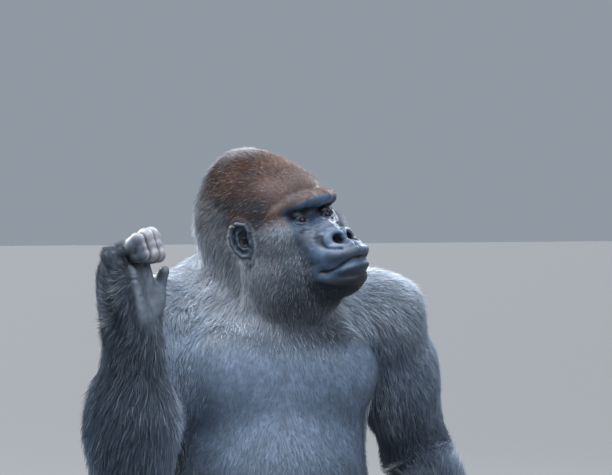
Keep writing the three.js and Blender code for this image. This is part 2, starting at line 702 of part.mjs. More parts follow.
function makeHead() {
  const face = (p) => (dot(minus(p, HEAD_AT), head.axes[1]) > 70 ? 5 : 1);
  const form = kept(body, past(NECK_CUT.at, NECK_CUT.normal), past(THROAT_CUT.at, THROAT_CUT.normal));
  const whole = thinned(skin(form, ...roomAround(HEAD_AT, 262), HEAD_CELL), TRIANGLES.head, face);
  let rest = solidFromLists(whole);
  for (const cut of [NECK_CUT, THROAT_CUT]) rest = rest.intersect(beyond(cut.at, cut.normal));
  for (const side of [-1, 1]) {
    const name = side < 0 ? "right" : "left";
    const eyeAt = head.at((side * EYE_SPACING) / 2, EYE_AT.forward, EYE_AT.up);
    const eyeball = (grow) => placed(new THREE.SphereGeometry(EYE_RADIUS + grow, 12, 8), eyeAt, head.axes[1]);
    const slit = new THREE.SphereGeometry(1, 12, 8).scale(13, 14, 6.5);
    const opening = solidFromGeometry(placed(slit, plus(eyeAt, head.axes[1], 13), head.axes[2]));
    rest = rest.subtract(solidFromGeometry(eyeball(CUT))).subtract(opening);
    addNode(`eye_${name}`, solidFromGeometry(eyeball(0)), EYE);

    const earSkin = skin(joined(earShapes(side)), ...roomAround(earAt(side), EAR_ROOM), EAR_CELL);
    const ear = solidFromLists(thinned(earSkin, TRIANGLES.ear));
    addNode(`ear_${name}`, ear.subtract(grownHead), BARE);
  }
  const jaw = (grow) =>
    beyond(plus(MOUTH.at, MOUTH.normal, -grow), MOUTH.normal, 400).intersect(
      beyond(head.at(0, JAW_BACK - grow, -120), head.axes[1], 400),
    );
  addNode("lower_jaw", rest.intersect(jaw(0)), BARE);
  addNode("head", rest.subtract(jaw(CUT)), COAT);
}

makeHead();

// ---- Hands --------------------------------------------------------------------------------------
// The sleeve that parts a thumb, in its hand's frame, and how far forward a palm reaches.
const THUMB_SLEEVE = {
  right: { root: [53, 50, 78], end: [43, 84, 146], widths: [17, 20] },
  left: { root: [46, 24, 58], end: [66, 66, 146], widths: [25, 32] },
};
const PALM_FRONT = { right: 37, left: 42 };

function makeHand(side, triangles) {
  const h = hand[side];
  const length = PALM_LENGTH[side];
  const form = kept(limbs[`arm_${side}`], past(WRIST[side], h.axes[2]));
  const room = roomAround(h.at(0, 20, length * 0.6), 150);
  const whole = solidFromLists(thinned(skin(form, ...room, HAND_CELL), triangles));
  let rest = whole.intersect(beyond(WRIST[side], h.axes[2], 600));
  const halfAt = (at, axis) => beyond(h.at(...at), axis, 400);
  const slab = (from, to) => halfAt([from, 0, 0], h.axes[0]).intersect(halfAt([to, 0, 0], flip(h.axes[0])));
  const { root, end, widths } = THUMB_SLEEVE[side];
  const thumb = (grow) => sleeve(h.at(...root), h.at(...end), ...widths, grow);
  addNode(`thumb_${side}`, rest.intersect(thumb(0)), BARE);
  rest = rest.subtract(thumb(CUT));
  // The palm ends at the knuckles, and in front of it the bent fingers come back down.
  const knuckles = [0, 0, length + 4];
  const front = [0, PALM_FRONT[side], 0];
  const fingers = halfAt(knuckles, h.axes[2]).add(halfAt(front, h.axes[1]));
  const palm = halfAt(knuckles, flip(h.axes[2])).intersect(halfAt(front, flip(h.axes[1])));
  for (let i = 0; i < 4; i++) {
    const edges = [fingerAcross(i) - FINGER_PITCH / 2, fingerAcross(i) + FINGER_PITCH / 2];
    if (i === 0) edges[0] -= 60;
    if (i === 3) edges[1] += 60;
    addNode(`${FINGER_NAMES[i]}_${side}`, rest.intersect(fingers).intersect(slab(...edges)), BARE);
  }
  addNode(`hand_${side}`, rest.intersect(palm), BARE);
}
makeHand("right", TRIANGLES.hand);
makeHand("left", TRIANGLES.leftHand);

// ---- Feet ---------------------------------------------------------------------------------------
function makeFoot(side) {
  const f = foot[side];
  const middle = f.at(0, 70, 60);
  const low = [middle[0] - 150, middle[1] - 190, -40];
  const high = [middle[0] + 150, middle[1] + 190, 150];
  const shin = minus(ANKLE[side], KNEE[side]);
  const form = kept(limbs[`leg_${side}`], past(ANKLE[side], shin));
  const whole = solidFromLists(thinned(skin(form, low, high, FOOT_CELL), TRIANGLES.foot));
  const rest = whole.intersect(beyond(ANKLE[side], shin));
  const reach = FOOT_LENGTH - HEEL_BACK;
  // Each group of toes lies beyond two planes, given as a point and a normal.
  const toes = [
    [f.at(0, reach * 0.62, 0), unit(plus(f.axes[1], f.axes[0], 0.2))],
    [f.at(-30, 0, 0), f.axes[0]],
  ];
  const greatToe = [
    [f.at(-32, reach * 0.45, 0), flip(f.axes[0])],
    [f.at(-32, reach * 0.45, 0), f.axes[1]],
  ];
  const pastPlane = ([at, normal], grow) => beyond(plus(at, normal, -grow), normal);
  const part = ([first, second], grow) => pastPlane(first, grow).intersect(pastPlane(second, grow));
  addNode(`toes_${side}`, rest.intersect(part(toes, 0)), BARE);
  addNode(`great_toe_${side}`, rest.intersect(part(greatToe, 0)), BARE);
  addNode(`foot_${side}`, rest.subtract(part(toes, CUT)).subtract(part(greatToe, CUT)), BARE);
}
makeFoot("right");
makeFoot("left");

// ---- Trunk and limbs ----------------------------------------------------------------------------
const CHEST_CUT = { at: [0, 0, 455], normal: [0, 0, 1] };
const NECK_BASE = { a: [0, 75, 775], b: [-40, -10, 1010], ra: 185, rb: 165 };
const ARM_ROOT = {
  right: { a: [-196, 22, 742], ra: 128, rb: 118 },
  left: { a: [196, 28, 760], ra: 128, rb: 118 },
};
const LEG_ROOT = { ra: 138, rb: 112 };
const TRUNK_ROOM = { low: [-545, -560, -60], high: [560, 320, 1030] };

// Parts one arm from the trunk at its root and at the elbow's own plane, and returns the rest.
function partArm(trunk, side) {
  const root = ARM_ROOT[side];
  const elbow = ELBOW[side];
  const end = plus(elbow, unit(minus(elbow, root.a)), 140);
  const upper = unit(minus(elbow, SHOULDER[side]));
  const lower = unit(minus(WRIST[side], elbow));
  const across = unit(plus(upper, lower));
  const tube = (grow) => sleeve(plus(elbow, lower, -110), plus(WRIST[side], lower, 8), 118, 118, grow);
  addNode(`forearm_${side}`, trunk.intersect(tube(0)).intersect(beyond(elbow, across)), COAT);
  const rest = trunk.subtract(tube(CUT).intersect(beyond(plus(elbow, across, -CUT), across)));
  addNode(`upper_arm_${side}`, rest.intersect(sleeve(root.a, end, root.ra, root.rb)), COAT);
  return rest.subtract(sleeve(root.a, end, root.ra, root.rb, CUT));
}

// Parts one leg from the trunk, and its lower half at the knee's own plane, and returns the rest.
function partLeg(trunk, side) {
  const knee = KNEE[side];
  const thigh = unit(minus(knee, HIP[side]));
  const shin = unit(minus(ANKLE[side], knee));
  const across = unit(plus(thigh, shin));
  const tube = (grow) => sleeve(plus(knee, shin, -120), plus(ANKLE[side], shin, 10), 120, 112, grow);
  addNode(`lower_leg_${side}`, trunk.intersect(tube(0)).intersect(beyond(knee, across)), COAT);
  const rest = trunk.subtract(tube(CUT).intersect(beyond(plus(knee, across, -CUT), across)));
  const root = plus(HIP[side], thigh, 34);
  const end = plus(knee, thigh, 150);
  addNode(`thigh_${side}`, rest.intersect(sleeve(root, end, LEG_ROOT.ra, LEG_ROOT.rb)), COAT);
  return rest.subtract(sleeve(root, end, LEG_ROOT.ra, LEG_ROOT.rb, CUT));
}

function makeTrunk() {
  const headRoom = kept(past(NECK_CUT.at, NECK_CUT.normal), past(THROAT_CUT.at, THROAT_CUT.normal));
  const ends = [outside(headRoom)];
  for (const side of ["right", "left"]) {
    const h = hand[side];
    const shin = unit(minus(ANKLE[side], KNEE[side]));
    ends.push(outside(rod(h.at(0, 0, 150), h.at(0, 0, 300), 150, 150)));
    ends.push(outside(rod(plus(ANKLE[side], shin, 160), plus(ANKLE[side], shin, 300), 160, 160)));
  }
  const form = kept(body, ...ends);
  let rest = solidFromLists(thinned(skin(form, TRUNK_ROOM.low, TRUNK_ROOM.high, BODY_CELL), TRIANGLES.body));
  // The head, hands and feet come from finer skins, so they are dropped from this one.
  const headSide = beyond(plus(NECK_CUT.at, NECK_CUT.normal, -CUT), NECK_CUT.normal);
  const faceSide = beyond(plus(THROAT_CUT.at, THROAT_CUT.normal, -CUT), THROAT_CUT.normal);
  const aroundHead = sleeve(head.at(0, 60, -260), head.at(0, 20, 330), 330, 330);
  rest = rest.subtract(headSide.intersect(faceSide).intersect(aroundHead));
  for (const side of ["right", "left"]) {
    const h = hand[side];
    const shin = unit(minus(ANKLE[side], KNEE[side]));
    rest = rest.subtract(sleeve(h.at(0, 0, -CUT / 2), h.at(0, 0, 300), 190, 190));
    rest = rest.subtract(sleeve(plus(ANKLE[side], shin, -CUT / 2), plus(ANKLE[side], shin, 300), 400, 400));
  }
  for (const side of ["right", "left"]) rest = partArm(rest, side);
  for (const side of ["right", "left"]) rest = partLeg(rest, side);
  addNode("neck", rest.intersect(sleeve(NECK_BASE.a, NECK_BASE.b, NECK_BASE.ra, NECK_BASE.rb)), COAT);
  rest = rest.subtract(sleeve(NECK_BASE.a, NECK_BASE.b, NECK_BASE.ra, NECK_BASE.rb, CUT));
  addNode("chest", rest.intersect(beyond(CHEST_CUT.at, CHEST_CUT.normal)), COAT);
  addNode("belly", rest.intersect(beyond(CHEST_CUT.at, flip(CHEST_CUT.normal))), COAT);
}
makeTrunk();

export default gorilla;
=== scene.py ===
import math
import time

import bmesh
import bpy
import numpy as np
from mathutils import Matrix, Vector


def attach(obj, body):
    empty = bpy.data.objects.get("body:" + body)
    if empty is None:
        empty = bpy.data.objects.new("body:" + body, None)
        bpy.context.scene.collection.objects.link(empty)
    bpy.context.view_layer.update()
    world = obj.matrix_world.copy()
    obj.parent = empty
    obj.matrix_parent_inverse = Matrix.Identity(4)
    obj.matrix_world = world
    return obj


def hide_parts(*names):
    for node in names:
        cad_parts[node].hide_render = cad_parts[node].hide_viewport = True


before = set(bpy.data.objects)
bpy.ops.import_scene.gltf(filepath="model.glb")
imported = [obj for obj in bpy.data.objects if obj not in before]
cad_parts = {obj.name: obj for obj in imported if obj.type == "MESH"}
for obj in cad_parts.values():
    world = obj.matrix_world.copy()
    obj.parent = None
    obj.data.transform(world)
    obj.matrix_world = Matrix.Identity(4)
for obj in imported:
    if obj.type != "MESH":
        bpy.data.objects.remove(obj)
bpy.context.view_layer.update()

started = time.time()


def stage(words):
    print(f"{time.time() - started:6.1f} s  {words}", flush=True)


# Lengths are in millimetres until a mesh is made. +Z is up, the chest faces -Y, +X is the animal's left.
pose = {
    "headAt": (8, -60, 920),
    "headYaw": 31,
    "headPitch": 12,
    "headRoll": 8,
    "shoulder": {"right": (-236, -14, 727), "left": (262, 20, 738)},
    "elbow": {"right": (-318, -199, 422), "left": (385, 138, 425)},
    "wrist": {"right": (-319, -236, 726), "left": (425, -40, 174)},
    "hip": {"right": (-135, 50, 125), "left": (135, 50, 125)},
    "knee": {"right": (-352, -190, 252), "left": (345, -192, 300)},
    "ankle": {"right": (-240, -402, 72), "left": (262, -385, 72)},
    "palmLength": {"right": 162, "left": 120},
    "fingerBends": {"right": (62, 173, 266), "left": (-28, 92, 168)},
}
sides = {"right": -1, "left": 1}  # sign of X
farOut = 900.0  # further than any two pieces of the body


def unit(v):
    v = np.asarray(v, float)
    return v / np.linalg.norm(v)


def mix(a, b, t):
    return np.asarray(a, float) * (1 - t) + np.asarray(b, float) * t


def smooth(x, low, high):
    t = np.clip((x - low) / (high - low), 0, 1)
    return t * t * (3 - 2 * t)


def within(q, low, high):  # whether each place lies inside a box
    return ((q > low) & (q < high)).all(1)


def alongLine(p, a, b):  # how far from a to b each place is, 0 to 1
    return np.clip((p - a) @ (b - a) / ((b - a) @ (b - a)), 0, 1)


class Place:  # a local frame: an origin and three unit axes
    def __init__(self, origin, axes):
        self.origin = np.asarray(origin, float)
        self.axes = np.array([unit(a) for a in axes])

    def at(self, a, b, c):
        return self.origin + np.array([a, b, c], float) @ self.axes

    def local(self, points):
        return (points - self.origin) @ self.axes.T

    def turned(self, v):
        return np.asarray(v, float) @ self.axes


blendRoom = 45  # a shape is worked out this far past its own reach


# Balls and rods that blend into one body.
def ball(at, radii, axes=None):
    radii = np.asarray(radii, float)
    return {"at": np.asarray(at, float), "radii": radii, "axes": axes, "reach": radii.max()}


def rod(a, b, ra, rb):
    a, b = np.asarray(a, float), np.asarray(b, float)
    return {"a": a, "b": b, "ra": ra, "rb": rb, "at": (a + b) / 2, "reach": np.linalg.norm(b - a) / 2 + max(ra, rb)}


def distance(shape, p):
    if "radii" in shape:
        q = p - shape["at"]
        if shape["axes"] is not None:
            q = q @ shape["axes"].T
        near = np.sqrt(((q / shape["radii"]) ** 2).sum(1)) + 1e-9
        slope = np.sqrt(((q / shape["radii"] ** 2) ** 2).sum(1)) + 1e-9
        return near * (near - 1) / slope
    t = alongLine(p, shape["a"], shape["b"])
    away = np.linalg.norm(p - shape["a"] - t[:, None] * (shape["b"] - shape["a"]), axis=1)
    return away - shape["ra"] - (shape["rb"] - shape["ra"]) * t


def blended(a, b, width):
    h = np.maximum(width - np.abs(a - b), 0)
    return np.minimum(a, b) - h * h / (4 * width)


def joined(parts, p, d=None):  # parts are (shape, blend width) or (shape, blend width, "dent")
    if d is None:
        d = distance(parts[0][0], p)
        parts = parts[1:]
    for shape, width, *dent in parts:
        near = np.flatnonzero(((p - shape["at"]) ** 2).sum(1) < (shape["reach"] + width + blendRoom) ** 2)
        if not len(near):
            continue
        e = distance(shape, p[near])
        d[near] = -blended(-d[near], e, width) if dent else blended(d[near], e, width)
    return d


class Group:  # shapes that are only worked out for points near them
    def __init__(self, parts, start=False):
        self.parts = parts
        spots = np.array([part[0]["at"] for part in parts])
        self.at = (spots.min(0) + spots.max(0)) / 2
        reaches = [np.linalg.norm(part[0]["at"] - self.at) + part[0]["reach"] + part[1] for part in parts]
        self.reach = max(reaches) + blendRoom
        self.start = start  # the group begins a form of its own

    def onto(self, d, p):
        near = np.flatnonzero(((p - self.at) ** 2).sum(1) < self.reach ** 2)
        if len(near):
            d[near] = joined(self.parts, p[near], None if self.start else d[near])
        return d


def trunkShapes():
    shapes = [
        (ball((0, 55, 150), (212, 172, 172)), 0),  # rump
        (ball((0, -40, 340), (228, 205, 222)), 90),  # belly
        (ball((0, 5, 600), (242, 178, 235)), 100),  # chest
        (ball((0, 92, 690), (215, 118, 160)), 80),  # upper back
        (rod((-180, 30, 738), (190, 35, 745), 94, 94), 60),  # shoulder girdle
    ]
    for s in (-1, 1):
        shapes += [
            (ball((s * 104, -112, 632), (118, 68, 98)), 40),  # breast muscle
            (ball((s * 150, 100, 560), (85, 90, 150)), 70),  # broad back muscle
            (rod((s * 55, 100, 815), (s * 200, 60, 752), 80, 62), 60),  # slope of the shoulders
            (ball((s * 95, 120, 95), (110, 105, 95)), 50),  # buttock
        ]
    return shapes + [(rod((4, 60, 785), (-6, -8, 900), 140, 112), 60)]  # neck


def headPlace():  # axes: to the animal's left, forward along the muzzle, up
    yaw = math.radians(pose["headYaw"] - 90)
    pitch = math.radians(pose["headPitch"])
    roll = math.radians(pose["headRoll"])
    level = np.array([math.cos(yaw), math.sin(yaw), 0])
    side = np.cross((0, 0, 1), level)
    forward = level * math.cos(pitch) + np.array([0, 0, math.sin(pitch)])
    rise = np.cross(side, forward)
    rise = rise if rise[2] > 0 else -rise
    left = side * math.cos(roll) + rise * math.sin(roll)
    return Place(pose["headAt"], (left, forward, rise * math.cos(roll) - side * math.sin(roll)))


head = headPlace()
eyes = {"apart": 78, "forward": 119, "up": 8, "radius": 13.0}


def headBall(at, radii):
    return ball(head.at(*at), radii, head.axes)


def headRod(a, b, ra, rb):
    return rod(head.at(*a), head.at(*b), ra, rb)


def chain(points, radius, width, place, taper=1.0):  # a bent rod through points
    links = []
    count = len(points) - 1
    for i in range(count):
        ra = radius * (1 + (taper - 1) * i / count)
        rb = radius * (1 + (taper - 1) * (i + 1) / count)
        links.append((rod(place.at(*points[i]), place.at(*points[i + 1]), ra, rb), width))
    return links


def headShapes():
    shapes = [
        (headBall((0, -12, 55), (106, 140, 105)), 40),
        (headBall((0, -42, 98), (78, 112, 94)), 30),  # crest
        (headBall((0, 68, 58), (72, 66, 42)), 30),  # forehead
        (headBall((0, -96, 30), (104, 80, 115)), 40),  # nape
        (headBall((0, 40, -128), (84, 104, 74)), 45),  # throat
    ]
    for s in (-1, 1):
        shapes += [
            (headBall((s * 58, -5, 50), (54, 92, 78)), 30),  # temple muscle
            (headBall((s * 66, 44, -74), (50, 82, 82)), 35),  # jaw muscle and cheek
            (headBall((s * 74, 82, -12), (38, 48, 40)), 26),  # cheekbone
        ]
    shapes += [
        (headBall((0, 112, -44), (64, 60, 52)), 26),  # middle of the face
        (headBall((0, 150, -80), (62, 74, 44)), 26),  # upper jaw
        (headBall((0, 142, -123), (57, 71, 42)), 14),  # lower jaw
        (headBall((0, 154, 20), (34, 20, 18)), 10, "dent"),  # hollow above the bridge
    ]
    for s in (-1, 1):
        shapes += [
            (headBall((s * 38, 150, 20), (34, 33, 19)), 9, "dent"),  # eye socket
            (headRod((s * 82, 88, 33), (s * 52, 130, 45), 12, 14), 12),  # brow, outer half
            (headRod((s * 52, 130, 45), (s * 22, 144, 47), 14, 14), 14),
            (headRod((s * 22, 144, 47), (0, 144, 44), 14, 13.5), 14),  # brow, inner half
        ]
    shapes += chain([(0, 116, 8), (0, 133, -8), (0, 149, -20), (0, 165, -34)], 12.5, 11, head, 1.35)  # bridge
    for s in (-1, 1):
        shapes.append((headBall((s * 46, 124, -106), (19, 32, 26)), 14))  # corner of the mouth
        shapes += eyelidShapes(s) + noseWingShapes(s)
    shapes += [
        (headRod((0, 186, -38), (0, 193, -60), 6, 6), 6),  # wall between the nostrils
        (headBall((0, 190, -79), (50, 35, 15)), 12),  # upper lip
        (headBall((0, 186, -108), (47, 34, 16)), 8),  # lower lip
    ]
    return shapes


def eyelidShapes(s):
    x, f, u = eyes["apart"] / 2 * s, eyes["forward"], eyes["up"]
    r = eyes["radius"]
    shapes = [(headBall((x, f, u), (r + 3.4, r + 2.6, r + 2.6)), 5),
              (headBall((x + s * 2, f + 4, u + 12.5), (19, 9.5, 7.5)), 6)]
    shapes += chain([(x - s * 16, f + 8, u + 1), (x - s * 7, f + 13.6, u + 7), (x + s * 5, f + 13.6, u + 8.6),
                     (x + s * 14, f + 8, u + 5), (x + s * 20, f + 1, u - 1)], 2.7, 2.5, head)  # upper lid
    shapes += chain([(x - s * 16, f + 8, u - 1), (x - s * 6, f + 13, u - 7.5), (x + s * 7, f + 12, u - 7.5),
                     (x + s * 18, f + 3, u - 2)], 2.6, 3, head)  # lower lid
    shapes += chain([(x - s * 16, f + 15, u - 12), (x - s * 2, f + 17, u - 18), (x + s * 14, f + 11, u - 18),
                     (x + s * 28, f - 1, u - 11)], 4.4, 7, head)  # bag under the eye
    shapes.append((headBall((x + s * 0.5, f + 15, u + 0.2), (13.8, 10, 3.8)), 1.4, "dent"))  # opening
    return shapes


def noseWingShapes(s):
    ring = []
    for i in range(13):  # a padded ring round the nostril
        a = math.radians(i * 30)
        ring.append((s * (17.5 + 16 * math.cos(a)), 184 - 6 * math.cos(a) - 3 * math.sin(a), -47 + 15 * math.sin(a)))
    shapes = [(headBall((s * 27, 162, -46), (23, 25, 24)), 7)]
    shapes += chain(ring, 7.0, 5, head)
    shapes.append((headBall((s * 16, 196, -47.5), (12.5, 26, 11.2)), 4, "dent"))  # nostril
    return shapes


earSpot = {"forward": 20, "up": -2}


def earPlace(s, core):
    reach = 60.0
    for _ in range(40):
        reach -= joined(core, head.at(s * reach, earSpot["forward"], earSpot["up"])[None])[0]
    out = unit(head.axes[0] * s + head.axes[1] * 0.42)
    up = unit(head.axes[2] - out * (head.axes[2] @ out))
    back = np.cross(up, out) * s * -1
    back = back if back @ head.axes[1] < 0 else -back
    return Place(head.at(s * (reach + 4), earSpot["forward"], earSpot["up"]), (out, back, up))


def earShapes(e):  # axes: outwards, backwards, up
    shapes = [(ball(e.at(-1, 0, 0), (9, 23, 36), e.axes), 5)]
    shapes.append((ball(e.at(10, -2, 3), (10, 15, 25), e.axes), 4, "dent"))  # hollow of the ear
    shapes += chain([(5, -15, 2), (7, -19, 15), (8, -14, 29), (9, 1, 35), (9, 15, 31), (9, 22, 16), (9, 23, -2),
                     (8, 18, -19), (6, 8, -32), (4, -5, -34), (3, -12, -24)], 4.6, 2.5, e)  # rim and lobe
    shapes += chain([(3, -3, 23), (5, 7, 17), (6, 10, 4), (6, 9, -9), (5, 2, -18), (4, -8, -19)], 3.4, 3, e)
    shapes += chain([(3, -11, 4), (5, -4, 2), (5, 3, 6)], 2.8, 3, e)  # root of the rim
    shapes.append((ball(e.at(5, -16, -9), (5, 5, 8), e.axes), 4))  # tragus
    shapes.append((ball(e.at(4, -4, -7), (8, 6, 7), e.axes), 3, "dent"))  # ear canal
    return shapes


def armShapes(side):
    shoulder, elbow, wrist = (pose[k][side] for k in ("shoulder", "elbow", "wrist"))
    hanging = 100 if side == "right" else 84
    return [
        (ball(shoulder, (99, 96, 99)), 0),
        (rod(shoulder, elbow, 92, 76), 30),
        (ball(mix(shoulder, elbow, 0.42), (92, 98, 126)), 40),
        (rod(elbow, wrist, 80, 66), 30),
        (ball(mix(elbow, wrist, 0.42), (hanging, 92, 128)), 40),
    ]


handLie = {"right": ((-0.17, -0.058, 0.985), (0.868, -0.49, 0.121)),  # the ways along the palm and out of it
           "left": ((4, -52, -108), (-0.05, 0.89, -0.43))}


def handPlace(side):  # axes: from the little finger to the thumb, out of the palm, along the palm
    along, palm = (unit(v) for v in handLie[side])
    out = unit(palm - along * (palm @ along))
    across = np.cross(along, out) if side == "right" else np.cross(out, along)
    return Place(pose["wrist"][side], (across, out, along))


hands = {side: handPlace(side) for side in sides}
fingers = {"pitch": 30,
           "bones": {"right": ((54, 29, 20, 14.5), (64, 35, 22, 16), (68, 37, 23, 16.5), (62, 35, 22, 16)),
                     "left": ((54, 34, 24, 14.5), (64, 41, 26, 16), (68, 43, 27, 16.5), (62, 41, 26, 16))},
           "knuckles": {"right": (2, 0, -4, -9), "left": (-8, -4, 0, -4)},
           "gather": {"right": (0.82, 0.76, 0.76), "left": (0.97, 0.94, 0.94)},
           "thumb": {"right": ((48, 38, 58), (54, 54, 90), (47, 69, 113)),
                     "left": ((44, 24, 58), (52, 46, 82), (46, 56, 104))}}


def fingerPath(side, i):
    at = np.array([(i - 1.5) * fingers["pitch"], 5.0 * (side == "right"),
                   pose["palmLength"][side] + fingers["knuckles"][side][i]], float)
    path = [at]
    for bend, length, gather in zip(pose["fingerBends"][side], fingers["bones"][side][i], fingers["gather"][side]):
        a = math.radians(bend)
        at = at + np.array([0, math.sin(a), math.cos(a)]) * length
        at[0] = path[0][0] * gather
        path.append(at)
    return path


def fingerShapes(side, i):
    h = hands[side]
    path = fingerPath(side, i)
    r = fingers["bones"][side][i][3]
    shapes = []
    for joint in range(3):
        start, end = path[joint], path[joint + 1]
        ra, rb = r + (2 if joint == 0 else 0) - joint, r - joint - 0.5
        bulge = unit(np.cross(end - start, (1, 0, 0))) * (-2.2 if joint else -1.2)  # bones are a little bowed
        middle = (start + end) / 2 + bulge
        width = 5 if joint == 0 else 2.5
        shapes.append((rod(h.at(*start), h.at(*middle), ra, (ra + rb) / 2 - 0.8), width))
        shapes.append((rod(h.at(*middle), h.at(*end), (ra + rb) / 2 - 0.8, rb), width))
        if joint < 2:
            shapes.append((ball(h.at(*(end + bulge * 0.9)), (rb + 0.6, rb + 1.2, rb + 1.2), h.axes), 2.5))  # joint
    return shapes


def handShapes(side):
    h = hands[side]
    length = pose["palmLength"][side]
    right = side == "right"
    palm = 7 if right else 0  # the fist's palm stands out further
    shapes = [
        (ball(h.at(0, palm, length * 0.52), (62, 32, length * 0.6), h.axes), 22),
        (rod(h.at(-40, 8 + palm, 10), h.at(-46, 4 + palm, length - 16), 24, 20), 14),  # outer edge of the palm
        (rod(h.at(-34, 22 + palm, 26), h.at(-38, 17 + palm, length - 36), 21, 18), 12),  # pad of the outer edge
        (rod(h.at(30, 24 + palm, 16), h.at(46, 30 + palm * 2, 70), 28, 22), 14),  # ball of the thumb
        (ball(h.at(0, -22 if right else -14, length * 0.4), (56, 38 if right else 26, length * 0.62), h.axes), 20),
        (rod(h.at(44, 8, 66), h.at(42, 4, length - 18), 22, 19), 14),  # inner edge of the palm
        (rod(h.at(38, 26 + palm, 56), h.at(30, 22 + palm, length - 26), 20, 18), 14),  # pad below the first finger
        (rod(h.at(-44, -2, length - 8), h.at(44, -2, length - 12), 17, 17), 14),  # knuckles' web
    ]
    for i in range(4):
        at = fingerPath(side, i)[0]
        shapes.append((ball(h.at(at[0], -3, at[2]), (17.5, 21, 20), h.axes), 8))
    if right:  # fingers curl on to each other
        inner = [fingerPath(side, i)[1] * 0.42 + fingerPath(side, i)[3] * 0.58 + (0, -6, -4) for i in (0, 3)]
        shapes.append((rod(h.at(*(inner[0] + (14, 0, 0))), h.at(*inner[1]), 12, 12), 5))
    for i in range(4):
        shapes += fingerShapes(side, i)
    root, bend, tip = (h.at(*v) for v in fingers["thumb"][side])
    shapes.append((rod(root, bend, 18, 13.5), 6))
    shapes.append((rod(bend, tip, 13.5, 11), 4))
    return shapes


def legShapes(side):
    hip, knee, ankle = (pose[k][side] for k in ("hip", "knee", "ankle"))
    return [
        (rod(hip, knee, 126, 86), 0),
        (ball(mix(hip, knee, 0.45), (112, 116, 112)), 40),
        (rod(knee, ankle, 82, 50), 30),
        (ball(mix(knee, ankle, 0.35) + (0, 16, -8), (70, 76, 92)), 30),
    ]


foot = {"length": 285, "heelBack": 62, "toePitch": 23}
footReach = foot["length"] - foot["heelBack"]
greatToeTip = (-64, footReach * 0.82, 12)


def footPlace(side):  # axes: towards the little toe, forward, up
    s = sides[side]
    forward = unit((s * 0.2, -1, 0))
    across = np.cross(forward, (0, 0, 1))
    across = across if across[0] * s > 0 else -across
    ankle = pose["ankle"][side]
    return Place((ankle[0], ankle[1], 0), (across, forward, (0, 0, 1)))


feet = {side: footPlace(side) for side in sides}


def toePath(i):  # a lesser toe's root, bend and tip
    across = -12 + i * foot["toePitch"]
    return ((across, footReach * 0.6 - i * 5, 22), (across + 3, footReach * 0.8 - i * 8, 25),
            (across + 5, footReach - 12 - i * 11, 9))


def footShapes(side):
    f, reach = feet[side], footReach
    shapes = [
        (rod(f.at(0, -foot["heelBack"] + 38, 34), f.at(4, 20, 62), 36, 44), 26),
        (rod(f.at(4, 10, 38), f.at(14, reach * 0.56, 26), 42, 30), 20),
        (rod(f.at(-6, 40, 26), f.at(-16, reach * 0.54, 22), 30, 24), 18),
        (rod(f.at(24, 30, 22), f.at(48, reach * 0.5, 18), 26, 21), 16),
        (rod(f.at(-26, reach * 0.3, 24), f.at(-58, reach * 0.62, 20), 24, 18), 10),  # great toe
        (rod(f.at(-58, reach * 0.62, 17), f.at(*greatToeTip), 17.5, 14), 4),
    ]
    for i in range(4):
        root, bend, tip = (f.at(*v) for v in toePath(i))
        shapes.append((rod(root, bend, 14.5, 13), 5))
        shapes.append((rod(bend, tip, 13, 11), 4))
    return shapes


headCore = headShapes()
ears = {side: earPlace(s, headCore) for side, s in sides.items()}
trunk = trunkShapes()
headGroup = Group(headCore)
earGroups = [Group(earShapes(ears[side])) for side in sides]
armGroups = {side: Group(armShapes(side), True) for side in sides}
handGroups = {side: Group(handShapes(side)) for side in sides}
legGroups = {side: Group(legShapes(side), True) for side in sides}
footGroups = {side: Group(footShapes(side)) for side in sides}


def outerForm(p):  # about the distance out of the coat's tips, negative inside
    d = headGroup.onto(joined(trunk, p), p)
    for g in earGroups:
        d = g.onto(d, p)
    arm, leg = np.full(len(p), farOut), np.full(len(p), farOut)
    for side, s in sides.items():
        mine = np.flatnonzero(p[:, 0] * s >= 0)
        q = p[mine]
        arm[mine] = handGroups[side].onto(armGroups[side].onto(arm[mine], q), q)
        leg[mine] = footGroups[side].onto(legGroups[side].onto(leg[mine], q), q)
    return np.minimum(blended(d, arm, 45), blended(d, leg, 50))


# Where the skin is bare. A larger soft makes the change to the coat wider.
def faceBare(q, soft=1.0):  # 1 on the bare face, 0 in the coat
    l, f, u = np.abs(q[:, 0]), q[:, 1], q[:, 2]
    wide = np.interp(u, (-60, -40, -15, 5, 30, 45), (80, 74, 79, 76, 79, 86))
    behind = np.interp(u, (-160, -146, -132, -119, -86, -59, -30, -5), (230, 196, 158, 134, 140, 136, 116, 95))
    side = smooth(wide - l, -5 * soft, 9 * soft) * smooth(f - behind, -8 * soft, 8 * soft)
    return side * smooth(51 - 0.0022 * l * l - u, -3 * soft, 4 * soft) * smooth(u, -215, -195) * (f < 260)


def earBare(e, soft):
    far = np.sqrt((e[:, 0] / 28) ** 2 + (e[:, 1] / 28) ** 2 + (e[:, 2] / 42) ** 2)
    inside = np.sqrt((e[:, 1] / 21) ** 2 + (e[:, 2] / 34) ** 2) + smooth(-e[:, 0], 14, 18)
    own = smooth(e[:, 0], 0, 2 + 2 * soft) * (1 - smooth(far, 1.0, 1.0 + 0.1 * soft))
    return np.maximum(own, 1 - smooth(inside, 0.94, 0.96 + 0.06 * soft))


